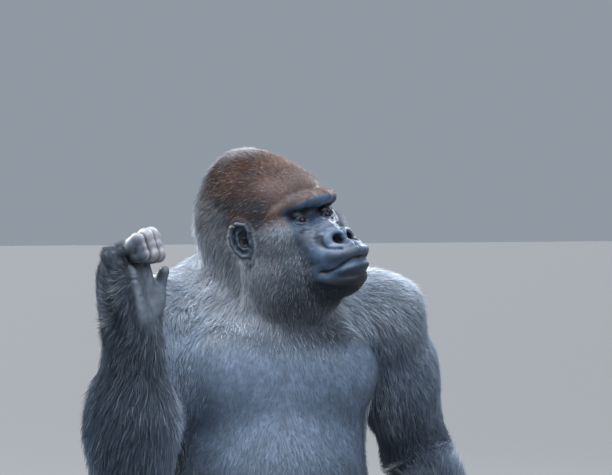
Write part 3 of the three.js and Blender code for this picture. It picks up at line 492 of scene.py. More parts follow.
def handBare(h, side, soft):
    length = pose["palmLength"][side]
    line = 10 + (23 if side == "right" else 14) * smooth(-h[:, 0], 20, 50)
    palm = smooth(h[:, 1] - line, -5 * soft, 5 * soft) * smooth(h[:, 2], 26 - 14 * soft, 36 + 10 * soft)
    knuckles = smooth(h[:, 2], length - 6 - 14 * soft, length + 12)
    if side == "right":  # hair reaches along the back of the fingers' first bones
        knuckles *= smooth(h[:, 1] + 0.5 * (length + 20 - h[:, 2]), 36 - 6 * soft, 44 + 4 * soft)
    return np.maximum(palm, knuckles) * within(h, (-105, -90, -60), (105, 130, length + 110))


def onFoot(f):
    return within(f, (-100, -90, -np.inf), (100, 260, 120))


def footBare(f, soft):
    sole = 1 - smooth(f[:, 2], 10 - 4 * soft, 16 + 8 * soft)
    toes = smooth(f[:, 1], 104 - 14 * soft, 110 + 12 * soft)
    return np.maximum(sole, toes) * onFoot(f)


def bareShare(p, soft=1.0):  # 1 on bare skin, 0 in the coat
    bare = faceBare(head.local(p), soft)
    for side in sides:
        for more in (earBare(ears[side].local(p), soft), handBare(hands[side].local(p), side, soft),
                     footBare(feet[side].local(p), soft)):
            bare = np.maximum(bare, more)
    return bare


# Each entry is a place on the coat, the way its hair lies there, the hair's length, the coat's depth, how many
# locks a square centimetre carries, and shares of silver, rust and pale-tipped hair. Between places they blend.
def coatPlan():
    plan = []

    def add(at, lie, length, depth, locks, silver=0.0, rust=0.0, fleck=0.5, reach=90):
        plan.append((np.asarray(at, float), unit(lie), length, depth, locks, silver, rust, fleck, reach))

    def onHead(at, lie, *values, **more):
        for s in (-1, 1) if abs(at[0]) > 1 else (1,):
            add(head.at(at[0] * s, at[1], at[2]), head.turned((lie[0] * s, lie[1], lie[2])), *values, **more)

    onHead((0, 112, 70), (0, -0.9, 0.4), 7, 1.6, 26, rust=0.7, fleck=0.05, reach=34)  # forehead
    onHead((58, 92, 60), (0.5, -0.8, 0.2), 7, 1.6, 26, rust=0.75, fleck=0.05, reach=34)  # over the brows
    onHead((0, 60, 120), (0, -0.8, 0.5), 15, 6, 18, rust=1.0, fleck=0.1, reach=48)  # front of the crown
    onHead((0, -20, 185), (0, -1, 0.25), 20, 9, 15, silver=1.1, rust=0.5, fleck=0.6, reach=44)  # crest; its high silver share is partly a painted highlight on the sunlit top of the crown
    onHead((70, -10, 130), (0.35, -0.8, 0.1), 18, 8, 16, rust=1.0, fleck=0.05, reach=52)  # side of the crown
    onHead((0, -130, 120), (0, -0.6, -0.7), 26, 12, 12, silver=0.45, rust=0.4, fleck=0.7, reach=60)  # back of it
    onHead((95, 40, 45), (0.15, -0.8, -0.35), 14, 6, 18, rust=0.6, fleck=0.1, reach=40)  # temple
    onHead((100, -60, 50), (0.1, -0.7, -0.6), 22, 10, 13, silver=0.45, rust=0.3, fleck=0.8, reach=50)  # over the ear
    onHead((0, -165, 20), (0, -0.3, -1), 38, 18, 8, rust=0.1, fleck=1.0, silver=0.9, reach=70)  # nape
    onHead((90, -90, -40), (0.15, -0.35, -1), 36, 18, 8.5, silver=1.25, fleck=1.0, reach=60)  # beside the nape
    onHead((96, 60, -25), (0.1, -0.6, -0.75), 14, 5, 18, silver=0.1, fleck=0.9, reach=36)  # cheekbone
    onHead((108, -20, -52), (0.15, -0.45, -0.85), 24, 11, 13, silver=1.2, fleck=1.0, reach=44)  # under the ear
    onHead((100, -48, 0), (0.1, -0.6, -0.8), 26, 12, 12, silver=1.15, fleck=1.0, reach=38)  # behind the ear
    onHead((100, 45, -80), (0.1, -0.45, -0.9), 20, 9, 13, silver=0.35, fleck=1.0, reach=45)  # jaw
    onHead((72, 95, -80), (0.1, -0.55, -0.8), 12, 4, 17, fleck=0.3, reach=38)  # beside the lips
    onHead((60, 95, -130), (0.1, -0.5, -0.85), 17, 6, 13, fleck=0.25, reach=44)  # lower cheek
    onHead((0, 150, -168), (0, -0.75, -0.65), 12, 3, 13, fleck=0.0, reach=48)  # chin
    onHead((0, 60, -190), (0, -0.5, -0.9), 26, 12, 9, fleck=0.4, reach=60)  # throat
    for s in (-1, 1):
        add((s * 120, -20, 850), (s * 0.75, -0.3, -0.6), 36, 16, 8, silver=0.62, fleck=1.0, reach=85)
        add((s * 90, 150, 800), (s * 0.25, 0.15, -1), 44, 16, 6, silver=0.25, fleck=0.5, reach=90)  # top of the back
        add((s * 90, 205, 620), (s * 0.12, 0.0, -1), 40, 14, 6, silver=0.42, fleck=0.25, reach=110)  # back
        add((s * 90, 210, 400), (s * 0.1, 0.1, -1), 36, 13, 6, silver=0.55, fleck=0.25, reach=120)  # small of the back
        add((s * 100, 200, 150), (s * 0.2, 0.2, -1), 34, 13, 6, silver=0.35, fleck=0.2, reach=90)  # rump
        add((s * 235, 60, 520), (s * 0.05, -0.1, -1), 40, 16, 5.5, silver=0.3, fleck=0.2, reach=90)  # flank
        add((s * 235, 40, 350), (s * 0.05, -0.1, -1), 40, 16, 5.5, silver=0.4, fleck=0.2, reach=90)
        add((s * 90, -175, 650), (s * 0.35, -0.2, -0.9), 13, 2.0, 2.6, fleck=0.0, reach=80)  # breast
        add((s * 110, -150, 520), (s * 0.4, -0.1, -0.9), 15, 2.5, 2.8, fleck=0.0, reach=80)  # under the breast
        add((s * 72, -130, 768), (s * 0.3, -0.4, -0.85), 36, 9, 8, silver=0.4, fleck=0.8, reach=46)  # collar
        add((s * 120, -210, 380), (s * 0.3, -0.1, -0.95), 20, 5, 4.6, fleck=0.0, reach=90)  # belly
        add((s * 100, -160, 240), (s * 0.3, 0.1, -0.95), 28, 9, 4.5, fleck=0.05, reach=80)  # groin
    add((0, -175, 740), (0, -0.3, -1), 24, 5, 7, silver=0.1, fleck=0.4, reach=55)  # top of the breastbone
    add((0, -240, 380), (0, -0.1, -1), 19, 4.5, 4.4, fleck=0.0, reach=90)
    for side, s in sides.items():
        shoulder, elbow, wrist = (np.array(pose[k][side], float) for k in ("shoulder", "elbow", "wrist"))
        down = unit(elbow - shoulder)
        add(shoulder + (s * 30, 0, 90), (s * 0.9, -0.3, -0.35), 34, 14, 7.5, silver=0.75, fleck=1.0, reach=80)
        add(shoulder + (s * 80, 0, 0), down, 30, 11, 7.5, silver=0.35, fleck=0.6, reach=80)
        for t in (0.35, 0.7):
            add(mix(shoulder, elbow, t), down, 28, 9, 7.5, silver=0.1, fleck=0.12, reach=100)
        add(elbow, down * 0.7 + unit(elbow - wrist) * 0.7, 34, 12, 7, fleck=0.12, reach=70)
        up = unit(elbow - wrist)  # hair of the forearm lies towards the elbow
        for t, length in ((0.3, 42), (0.6, 48), (0.9, 36)):
            outward = np.array((s * 0.25, 0.05, 0)) if side == "right" else np.array((0, 0.2, 0))
            add(mix(elbow, wrist, t), up + outward, length, 20 - 6 * (t > 0.8), 6, fleck=0.15, reach=95)
        h = hands[side]
        length = pose["palmLength"][side]
        for t in (0.2, 0.5):
            add(h.at(0, -45, length * t), h.turned((-0.35, -0.5, 0.6)), 24, 8, 9, fleck=0.2, reach=48)
        add(h.at(0, -28, length * 0.9), h.turned((-0.2, -0.35, 0.9)), 18, 3, 7, fleck=0.2, reach=40)  # knuckles
        hip, knee, ankle = (np.array(pose[k][side], float) for k in ("hip", "knee", "ankle"))
        thigh = unit(knee - hip)
        shin = unit(ankle - knee)
        add(mix(hip, knee, 0.5), thigh + (0, 0, -0.3), 40, 15, 5.5, silver=0.12, fleck=0.06, reach=110)  # thigh
        add(knee, thigh * 0.5 + shin, 32, 12, 6, fleck=0.04, reach=70)
        for t in (0.35, 0.75):
            add(mix(knee, ankle, t), shin + (0, 0.25, 0), 36, 12, 6, fleck=0.04, reach=80)
        f = feet[side]
        add(f.at(8, 20, 70), f.turned((0.2, 0.9, -0.3)), 20, 6, 7, fleck=0.25, reach=45)  # instep
        add(f.at(10, 90, 45), f.turned((0.2, 0.95, -0.2)), 12, 3, 8, fleck=0.25, reach=40)
    return plan


plan = coatPlan()
planAt = np.array([row[0] for row in plan])
planLie = np.array([row[1] for row in plan])
planValues = np.array([row[2:8] for row in plan], float)  # length, depth, locks, silver, rust, fleck
planReach = np.array([row[8] for row in plan], float)


def planShares(p):  # how much each place of the plan counts
    d2 = (p ** 2).sum(1)[:, None] - 2 * p @ planAt.T + (planAt ** 2).sum(1)[None]
    d2 /= planReach ** 2
    w = np.exp(-1.4 * d2) + 1e-4 / (1 + d2) ** 2
    return w / w.sum(1, keepdims=True)


def nearEar(p):  # the coat has no depth over the ears
    share = np.zeros(len(p))
    for side in sides:
        e = ears[side].local(p) / (28, 29, 42)
        share = np.maximum(share, 1 - smooth(np.sqrt((e ** 2).sum(1)), 1.02, 1.25))
    return share


def skinOffset(p, atOnce=40000):  # how far the skin lies under the outer form
    depth = np.zeros(len(p))
    for start in range(0, len(p), atOnce):
        q = p[start:start + atOnce]
        coatDepth = planShares(q) @ planValues[:, 1]
        depth[start:start + atOnce] = coatDepth * (1 - np.maximum(bareShare(q, 2.2), nearEar(q)))
    return depth + 0.6


# Folds of the face, drawn on its front as (sideways, up) lines, each with a depth, a width and 1 if it is mirrored.
folds = [
    ([(0, -92), (10, -91.5), (18, -91), (26, -93), (36, -97), (42, -101), (47, -104.5), (52, -105.5), (56, -103)],
     4.2, 2.3, 1),  # mouth
    ([(33, -22), (40, -28), (46, -35), (48.5, -42), (48.5, -50), (47, -58), (42, -63), (35, -65)], 3.6, 3.0, 1),  # wing
    ([(36, -17), (47, -25), (55, -37), (57, -50)], 1.0, 2.4, 1),  # second fold round the wing
    ([(33, -22), (24, -19), (12, -17), (0, -16)], 1.8, 2.4, 1),  # top of the nose's pad
    ([(35, -65), (22, -67), (10, -66), (0, -65)], 1.4, 3.4, 1),  # under the nostrils
    ([(60, -24), (67, -44), (67, -66), (62, -84)], 1.6, 6.0, 1),  # cheek fold
    ([(22, -2), (30, -5), (37, -7), (46, -7), (55, -4), (62, 2)], 1.2, 2.0, 1),  # under the lower lid
    ([(18, -4), (28, -12), (40, -15), (54, -13), (66, -5)], 0.7, 2.3, 1),
    ([(14, -8), (26, -18), (40, -22), (56, -20), (68, -12)], 0.5, 2.4, 1),
    ([(26, 6), (21, 0), (13, -3), (7, -7), (3, -13)], 0.9, 2.0, 1),  # from the eye's corner on to the bridge
    ([(30, -10), (20, -9), (13, -11), (8, -17)], 1.0, 1.7, 1),
    ([(16, 4), (8, 1), (0, 0)], 1.0, 1.7, 1),  # across the bridge
    ([(0, -34), (0, -60), (0, -84)], 1.8, 2.6, 0),  # between the nostrils and down the lip
    ([(38, -122), (20, -126), (0, -127), (-20, -126), (-38, -122)], 1.6, 4.5, 0),  # under the lower lip
    ([(60, 16), (68, 8), (74, -2)], 0.4, 2.4, 1),  # corner of the eye
    ([(60, 8), (70, -2), (76, -12)], 0.4, 2.4, 1),
    ([(11, 52), (9, 40), (8, 30)], 0.7, 3.0, 1),  # between the brows
]


def foldLines():
    lines = []
    for points, depth, width, mirrored in folds:
        lines.append((np.array(points, float), depth, width))
        if mirrored:
            lines.append((np.array(points, float) * (-1, 1), depth, width))
    return lines


foldSet = foldLines()


def lineDistance(flat, points):  # squared distance from a bent line
    best = np.full(len(flat), 1e9)
    for a, b in zip(points[:-1], points[1:]):
        t = alongLine(flat, a, b)
        best = np.minimum(best, ((flat - a - t[:, None] * (b - a)) ** 2).sum(1))
    return best


def foldDepth(p):
    q = head.local(p)
    depth = np.zeros(len(p))
    face = np.flatnonzero(within(q, (-95, 78, -150), (95, np.inf, 75)))
    flat = q[face][:, (0, 2)]
    for points, amount, width in foldSet:
        depth[face] += amount * np.exp(-lineDistance(flat, points) / width ** 2)
    return depth


def facing(p, n):  # 0 where the skin beside the eyes turns away to the side
    return np.maximum(smooth(n @ head.axes[1], 0.15, 0.6), 1 - smooth(head.local(p)[:, 2], -34, -26))


def fingerCrease(p, side, width):  # 1 along the lines where two bent fingers meet
    near = np.stack([np.min([distance(shape, p) for shape, _ in fingerShapes(side, i)], 0) for i in range(4)])
    near.sort(0)
    return np.exp(-((near[1] - near[0]) / width) ** 2) * (near[0] < 9)


palmLines = ([(-50, 0.72), (-10, 0.66), (30, 0.8)], [(-44, 0.5), (0, 0.5), (26, 0.72)],  # across, share of its length
             [(10, 0.1), (4, 0.4), (30, 0.74)])


def handFolds(p):  # creases between the fingers, on the palm's edge and across the palm
    depth = np.zeros(len(p))
    for side in sides:
        h = hands[side].local(p)
        near = np.flatnonzero(within(h, (-80, -120, 20), (80, 120, 260)))
        if not len(near):
            continue
        q = h[near]
        length = pose["palmLength"][side]
        edge = smooth(-q[:, 0], 18, 38) * smooth(q[:, 1], 12, 24) * smooth(q[:, 2], 24, 40)
        edge *= 1 - smooth(q[:, 2], length - 30, length - 12)
        wave = q[:, 2] * 2 * math.pi / 9.5 + 0.22 * q[:, 1] + 1.6 * np.sin(q[:, 2] * 0.13 + 0.1 * q[:, 0])
        d = 0.14 * edge * (1.0 + 0.6 * np.sin(q[:, 2] * 0.31)) * np.sin(wave)
        palm = smooth(q[:, 1], 12, 22) * (1 - smooth(q[:, 2], length - 20, length))
        for line in palmLines:
            points = np.array(line) * (1, length)
            d += palm * 2.2 * np.exp(-lineDistance(q[:, (0, 2)], points) / 2.6 ** 2)
        close = np.flatnonzero(q[:, 2] > length - 50)
        d[close] += 1.9 * fingerCrease(q[close] @ hands[side].axes + hands[side].origin, side, 2.6)
        depth[near] += d
    return depth


# The skin is a net over the form, half as wide at the head, hands and feet, then moved on to the form and made finer.
skin = {"cell": 10.0, "block": 4, "low": (-570, -700, -20), "high": (590, 340, 1140),
        "longestEdge": {"fingers": 5.0, "fist": 2.7, "face": 3.0, "eyes": 1.4, "mouth": 1.5}}
floorGap = 0.5  # the net stays this far above the floor


def inDetail(p, margin=0.0):  # head's front and ears, hands and toes
    near = within(head.local(p), (-110 - margin, 40 - margin, -185 - margin), (110 + margin, np.inf, 85 + margin))
    for side in sides:
        near |= (ears[side].local(p) ** 2).sum(1) < (48 + margin) ** 2
        end = pose["palmLength"][side] + 100
        near |= within(hands[side].local(p), (-95 - margin, -60 - margin, 5 - margin),
                       (95 + margin, 110 + margin, end + margin))
        near |= within(feet[side].local(p), (-95 - margin, 60 - margin, -np.inf),
                       (95 + margin, 240 + margin, 70 + margin))
    return near


def netForm(p):
    d = outerForm(p)
    close = np.flatnonzero(np.abs(d) < 48)  # the coat's depth only counts near the form
    d[close] += skinOffset(p[close])
    return np.maximum(d, floorGap - p[:, 2])


def formAt(points, atOnce=120000):
    pieces = max(1, len(points) // atOnce)
    return np.concatenate([netForm(part) for part in np.array_split(points, pieces)])


def repeated(blocks, times):
    for axis in range(3):
        blocks = np.repeat(blocks, times, axis)
    return blocks


def blockNodes(blocks, size, low, cell):  # grid nodes of some blocks, and their places
    local = np.stack(np.meshgrid(*[np.arange(size)] * 3, indexing="ij"), -1).reshape(-1, 3)
    nodes = (blocks[:, None, :] * size + local[None]).reshape(-1, 3)
    return nodes, low + nodes * cell


def skinNet():  # the form is worked out in blocks, only where its surface passes
    low, cell, size = np.array(skin["low"], float), skin["cell"], skin["block"]
    blocks = np.ceil((np.array(skin["high"]) - low) / (cell * size)).astype(int)
    grid = np.stack(np.meshgrid(*[np.arange(b) for b in blocks], indexing="ij"), -1).reshape(-1, 3)
    centres = low + (grid + 0.5) * size * cell
    rough = formAt(centres)
    half = size * cell * math.sqrt(3) / 2
    value = repeated(np.where(rough > 0, 60.0, -60.0).reshape(blocks), size)
    active = grid[np.abs(rough) < half * 1.2 + 16]
    nodes, points = blockNodes(active, size, low, cell)
    value[tuple(nodes.T)] = formAt(points)
    stage(f"coarse form at {len(points)} places")
    for axis in range(3):  # twice as fine, by halves
        value = np.moveaxis(value, axis, 0)
        between = np.concatenate([(value[:-1] + value[1:]) / 2, value[-1:]])
        value = np.stack([value, between], 1).reshape((-1,) + value.shape[1:])
        value = np.moveaxis(value, 0, axis)
    isFine = inDetail(centres, half * 0.5).reshape(blocks)
    fineCells = repeated(isFine, size * 2)
    fineNodes = fineCells.copy()
    for axis in range(3):
        fineNodes &= np.roll(fineNodes, 1, axis)
    activeMap = np.zeros(blocks, bool)
    activeMap[tuple(active.T)] = True
    fineBlocks = np.argwhere(isFine & activeMap)
    nodes, points = blockNodes(fineBlocks, size * 2, low, cell / 2)
    keep = fineNodes[tuple(nodes.T)] & (np.abs(value[tuple(nodes.T)]) < 26)
    value[tuple(nodes[keep].T)] = formAt(points[keep])
    stage(f"fine form at {keep.sum()} places")
    return netOf(value, fineCells, low, cell / 2)


def cellKeys(cells):  # one number for each grid cell
    return (cells[:, 0] * 4096 + cells[:, 1]) * 4096 + cells[:, 2]


def netPoints(value, cells, corners):  # middle of the places where the form crosses each cell's edges
    total, hits = np.zeros((len(cells), 3)), np.zeros(len(cells))
    for c in corners:
        for axis in range(3):
            if c[axis]:
                continue
            e = list(c)
            e[axis] = 1
            va = value[tuple((cells + c).T)]
            vb = value[tuple((cells + e).T)]
            cut = (va < 0) != (vb < 0)
            t = np.where(cut, va / np.where(cut, va - vb, 1), 0)
            total += (np.array(c, float)[None] + t[:, None] * np.eye(3)[axis]) * cut[:, None]
            hits += cut
    return cells + total / hits[:, None]


def netOf(value, fineCells, low, cell):  # one point for each cell on the form, wide cells taken eight at a time
    n = np.array(value.shape)
    inside = value < 0
    count = np.zeros(tuple(n - 1), np.int8)
    corners = [(i, j, k) for i in (0, 1) for j in (0, 1) for k in (0, 1)]
    for c in corners:
        count += inside[tuple(slice(c[a], n[a] - 1 + c[a]) for a in range(3))]
    cells = np.argwhere((count > 0) & (count < 8))
    places = low + netPoints(value, cells, corners) * cell
    apart = 1 << 40  # keeps the numbers of fine and wide cells apart
    keys = np.where(fineCells[tuple(cells.T)], cellKeys(cells) + apart, cellKeys(cells // 2))
    _, which = np.unique(keys, return_inverse=True)
    sums = np.stack([np.bincount(which, places[:, a]) for a in range(3)], 1)
    verts = sums / np.bincount(which)[:, None]
    index = np.full(tuple(n - 1), -1, np.int64)
    index[tuple(cells.T)] = which
    quads = []
    for axis in range(3):
        u, v = (axis + 1) % 3, (axis + 2) % 3
        step = np.eye(3, dtype=int)[axis]
        first = inside[tuple(slice(0, n[a] - step[a]) for a in range(3))]
        second = inside[tuple(slice(step[a], n[a]) for a in range(3))]
        for state, turned in ((first & ~second, False), (~first & second, True)):
            at = np.argwhere(state)
            du, dv = np.eye(3, dtype=int)[u], np.eye(3, dtype=int)[v]
            ids = np.stack([index[tuple(r.T)] for r in (at - du - dv, at - dv, at, at - du)], 1)
            quads.append(ids[:, ::-1] if turned else ids)
    quads = np.concatenate(quads)
    short = (((verts[quads[:, 0]] - verts[quads[:, 2]]) ** 2).sum(1)
             < ((verts[quads[:, 1]] - verts[quads[:, 3]]) ** 2).sum(1))
    one = np.where(short[:, None], quads[:, (0, 1, 2)], quads[:, (0, 1, 3)])
    two = np.where(short[:, None], quads[:, (0, 2, 3)], quads[:, (1, 2, 3)])
    tris = np.concatenate([one, two])
    real = (tris[:, 0] != tris[:, 1]) & (tris[:, 1] != tris[:, 2]) & (tris[:, 0] != tris[:, 2])
    return verts, tris[real]


def uniqueEdges(tris):
    ends = np.sort(np.concatenate([tris[:, (0, 1)], tris[:, (1, 2)], tris[:, (2, 0)]]), 1)
    keys, inverse = np.unique(ends[:, 0] * (1 << 32) + ends[:, 1], return_inverse=True)
    edges = np.stack([keys >> 32, keys & ((1 << 32) - 1)], 1)
    return edges, inverse.reshape(3, -1).T


def halved(points, tris, wanted, longest):  # splits the long edges where wanted says so
    edges, ofTri = uniqueEdges(tris)
    a, b = points[edges[:, 0]], points[edges[:, 1]]
    split = (wanted(a) & wanted(b)) & (((a - b) ** 2).sum(1) > longest ** 2)
    mid = np.full(len(edges), -1)
    mid[split] = len(points) + np.arange(split.sum())
    points = np.concatenate([points, ((a + b) / 2)[split]])
    m = mid[ofTri]
    cut = m >= 0
    number = cut.sum(1)
    out = [tris[number == 0]]
    t, k = tris[number == 3], m[number == 3]
    out += [np.stack(c, 1) for c in ((t[:, 0], k[:, 0], k[:, 2]), (k[:, 0], t[:, 1], k[:, 1]),
                                     (k[:, 2], k[:, 1], t[:, 2]), (k[:, 0], k[:, 1], k[:, 2]))]
    for turn in range(3):
        order = [(turn + i) % 3 for i in range(3)]
        at = (number == 1) & cut[:, turn]
        t, k = tris[at][:, order], m[at][:, order]
        out += [np.stack(c, 1) for c in ((t[:, 0], k[:, 0], t[:, 2]), (k[:, 0], t[:, 1], t[:, 2]))]
        at = (number == 2) & ~cut[:, (turn + 2) % 3]
        t, k = tris[at][:, order], m[at][:, order]
        out += [np.stack(c, 1) for c in ((k[:, 0], t[:, 1], k[:, 1]), (t[:, 0], k[:, 0], k[:, 1]),
                                         (t[:, 0], k[:, 1], t[:, 2]))]
    return points, np.concatenate(out)


def eased(points, tris, share=0.5, rounds=1, only=None, along=False):  # evens out the net
    edges, _ = uniqueEdges(tris)
    degree = np.bincount(edges.ravel(), minlength=len(points))[:, None]
    for _ in range(rounds):
        total = np.stack([np.bincount(edges[:, 0], points[edges[:, 1], a], len(points))
                          + np.bincount(edges[:, 1], points[edges[:, 0], a], len(points)) for a in range(3)], 1)
        move = (total / np.maximum(degree, 1) - points) * share
        if along:
            n = pointNormals(points, tris)
            move -= n * (move * n).sum(1, keepdims=True)
        points = points + (move if only is None else move * only[:, None])
    return points


def pointNormals(points, tris):
    a, b, c = (points[tris[:, i]] for i in range(3))
    face = np.cross(b - a, c - a)
    total = np.stack([sum(np.bincount(tris[:, i], face[:, k], len(points)) for i in range(3)) for k in range(3)], 1)
    return total / (np.linalg.norm(total, axis=1, keepdims=True) + 1e-9)


around = np.array([(1, 1, 1), (1, -1, -1), (-1, 1, -1), (-1, -1, 1)], float)  # four places tell the form's slope


def settled(points, rounds, step=0.5, most=3.0):  # moves points on to the skin's form
    points = points.copy()
    offset = skinOffset(points)
    for _ in range(rounds):
        found = np.stack([np.maximum(outerForm(points + c * step) + offset, floorGap - points[:, 2] - c[2] * step)
                          for c in around])
        slope = (found.T @ around) / (4 * step)
        size = np.maximum((slope ** 2).sum(1), 0.3)
        move = -slope * (found.mean(0) / size)[:, None]
        far = np.linalg.norm(move, axis=1, keepdims=True)
        points += move * np.minimum(1, most / (far + 1e-9))
    return points


def inFace(p):
    near = within(head.local(p), (-78, 88, -136), (78, np.inf, 54))
    for side in sides:
        near |= (ears[side].local(p) ** 2).sum(1) < 42 ** 2
    return near


def inFingers(p):
    near = np.zeros(len(p), bool)
    for side in sides:
        near |= within(hands[side].local(p), (-72, -30, 30), (72, 100, pose["palmLength"][side] + 90))
    return near


def inFist(p):
    length = pose["palmLength"]["right"]
    return within(hands["right"].local(p), (-66, -28, length - 48), (66, 95, length + 80))


def nearEyes(p):
    q = head.local(p)
    near = np.zeros(len(p), bool)
    for s in (-1, 1):
        near |= ((q - (s * eyes["apart"] / 2, eyes["forward"] + 8, eyes["up"])) ** 2).sum(1) < 25 ** 2
    return near


def nearMouth(p):
    q = head.local(p)
    flat = np.stack([-np.abs(q[:, 0]), q[:, 2]], 1)
    return (q[:, 1] > 120) & (lineDistance(flat, foldSet[0][0]) < 8 ** 2)


def makeSkinNet():
    points, tris = skinNet()
    stage(f"net of {len(points)} points, {len(tris)} triangles")
    points = settled(eased(points, tris, 0.5, 2), 1)
    points = settled(eased(points, tris, 0.35, 1), 1)
    stage("net on the form")
    regions = {"fingers": inFingers, "fist": inFist, "face": inFace, "eyes": nearEyes, "mouth": nearMouth}
    for name, region in regions.items():
        for _ in range(2):
            points, tris = halved(points, tris, region, skin["longestEdge"][name])
        close = region(points)
        points[close] = settled(eased(points, tris, 0.4, 2, close)[close], 1)
        stage(f"finer net at the {name}: {len(points)} points")
    close = inDetail(points) | inFace(points)
    for _ in range(2):
        points = eased(points, tris, 0.4, 2, close, True)
        points[close] = settled(points[close], 1, most=1.2)
    points = eased(points, tris, 0.1, 1, close)
    folded = np.zeros(len(points))  # folds are pressed in last, straight down
    n = pointNormals(points, tris)
    folded[close] = foldDepth(points[close]) * facing(points[close], n[close]) + handFolds(points[close])
    points -= n * folded[:, None]
    points[:, 2] = np.maximum(points[:, 2], 0.4)
    return points, tris, folded


def meshOf(name, points, tris):
    mesh = bpy.data.meshes.new(name)
    mesh.vertices.add(len(points))
    mesh.vertices.foreach_set("co", (points / 1000).astype(np.float32).ravel())
    mesh.loops.add(len(tris) * 3)
    mesh.loops.foreach_set("vertex_index", tris.astype(np.int32).ravel())
    mesh.polygons.add(len(tris))
    mesh.polygons.foreach_set("loop_start", np.arange(0, len(tris) * 3, 3, dtype=np.int32))
    mesh.polygons.foreach_set("use_smooth", np.ones(len(tris), bool))
    mesh.update(calc_edges=True)
    mesh.validate()
    return mesh


def shown(name, mesh):
    obj = bpy.data.objects.new(name, mesh)
    bpy.context.scene.collection.objects.link(obj)
    return obj


skinPoints, skinTris, skinFolds = makeSkinNet()
skinNormals = pointNormals(skinPoints, skinTris)
stage(f"skin has {len(skinTris)} triangles")


def linear(hexColour):  # an sRGB hex colour as linear red, green, blue
    parts = np.array([int(hexColour[i:i + 2], 16) for i in (1, 3, 5)]) / 255
    return np.where(parts <= 0.04045, parts / 12.92, ((parts + 0.055) / 1.055) ** 2.4)


tones = {
    "face": "#37475b",  # slate black skin that looks bluish
    # painted shade, put in hollows, creases, nostrils, the mouth line and under the chin
    "paintedShade": "#0b1017",
    "muzzle": "#42566c",
    # dark lip skin, also used as painted shade on the lower face, in the folds and on the face's side
    "lipsAndShade": "#171e26",
    "ear": "#323e4b",
    "underCoat": "#24272b",
    "chest": "#5d6d80",
    "palm": "#5d6670",
    # paler skin of the finger backs, made lighter still by painted light
    "litFingerBack": "#8c8d92",
    # painted shade for the fist's side turned from the light
    "fistSideShade": "#3c4653",
    "sole": "#33343a",
    "hairDark": "#343e48",
    "hairSlate": "#7d8c9b",
    "hairBrown": "#5f463b",
    "hairRust": "#8a5a3c",
    "hairSilver": "#c9d2da",
    "hairArm": "#66768a",
}


def tone(name):
    return linear(tones[name])


def blend(colour, name, share):
    return colour + (tone(name) - colour) * np.clip(share, 0, 1)[:, None]


def wander(p, size, seed):  # a slow, even unevenness of about plus or minus one
    rng = np.random.default_rng(seed)
    total = np.zeros(len(p))
    for k in range(6):
        way = unit(rng.normal(size=3))
        total += np.sin(p @ way * (2 * math.pi / (size * (0.6 + 0.25 * k))) + rng.uniform(0, 7))
    return total / 3


def chestShare(p):  # 1 on the thinly haired chest
    chest = smooth(-p[:, 1], 60, 130) * (1 - smooth(p[:, 2], 640, 740)) * smooth(p[:, 2], 330, 560)
    return chest * (1 - smooth(np.abs(p[:, 0]), 170, 235))


def hairColour(p, values):  # the coat's markings
    silver, rust, fleck = values[:, 3:].T
    colour = np.tile(tone("hairDark"), (len(p), 1))
    arm = np.zeros(len(p))
    for side in sides:
        for start, end, first, last in (("shoulder", "elbow", 1.0, 0.55), ("elbow", "wrist", 0.55, 0.12)):
            a, b = np.array(pose[start][side], float), np.array(pose[end][side], float)
            t = alongLine(p, a, b)
            near = 1 - smooth(np.linalg.norm(p - a - t[:, None] * (b - a), axis=1), 110, 150)
            arm = np.maximum(arm, near * mix(first, last, smooth(t, 0.1, 0.9)))
    colour = blend(colour, "hairArm", arm)
    colour = blend(colour, "chest", chestShare(p) * 0.8)
    colour = blend(colour, "hairSlate", fleck * 0.75)
    colour = blend(colour, "hairSilver", silver * (0.75 + 0.25 * wander(p, 60, 3)))
    colour = blend(colour, "hairBrown", rust * (1.0 + 0.3 * wander(p, 45, 5)))
    q = head.local(p)
    l, f, u = q[:, 0], q[:, 1], q[:, 2]
    streak = np.exp(-((u - 62 + 0.35 * (f - 60)) / 16) ** 2) * smooth(np.abs(l), 40, 80) * smooth(f, -70, 10)
    colour = blend(colour, "hairDark", streak * (1 - smooth(f, 70, 100)) * 0.6)
    overBrow = np.exp(-((u - 55 + 0.0022 * l * l) / 3.6) ** 2) * smooth(f, 60, 100) * smooth(120 - np.abs(l), 0, 30)
    colour = blend(colour, "hairRust", overBrow * 0.16)
    return colour


def chestColour(colour, p):  # slate chest, with a little painted shade along the breastbone and under the breast, and a darker patch high on the chest
    colour = blend(colour, "chest", chestShare(p))
    breast = np.exp(-(p[:, 0] / 11) ** 2) + 0.7 * np.exp(-((p[:, 2] - 560 - 0.2 * np.abs(p[:, 0])) / 16) ** 2)
    breast += 0.9 * np.exp(-((p[:, 0] - 50) / 60) ** 2 - ((p[:, 2] - 700) / 38) ** 2)
    return blend(colour, "hairDark", chestShare(p) * breast * 0.3)


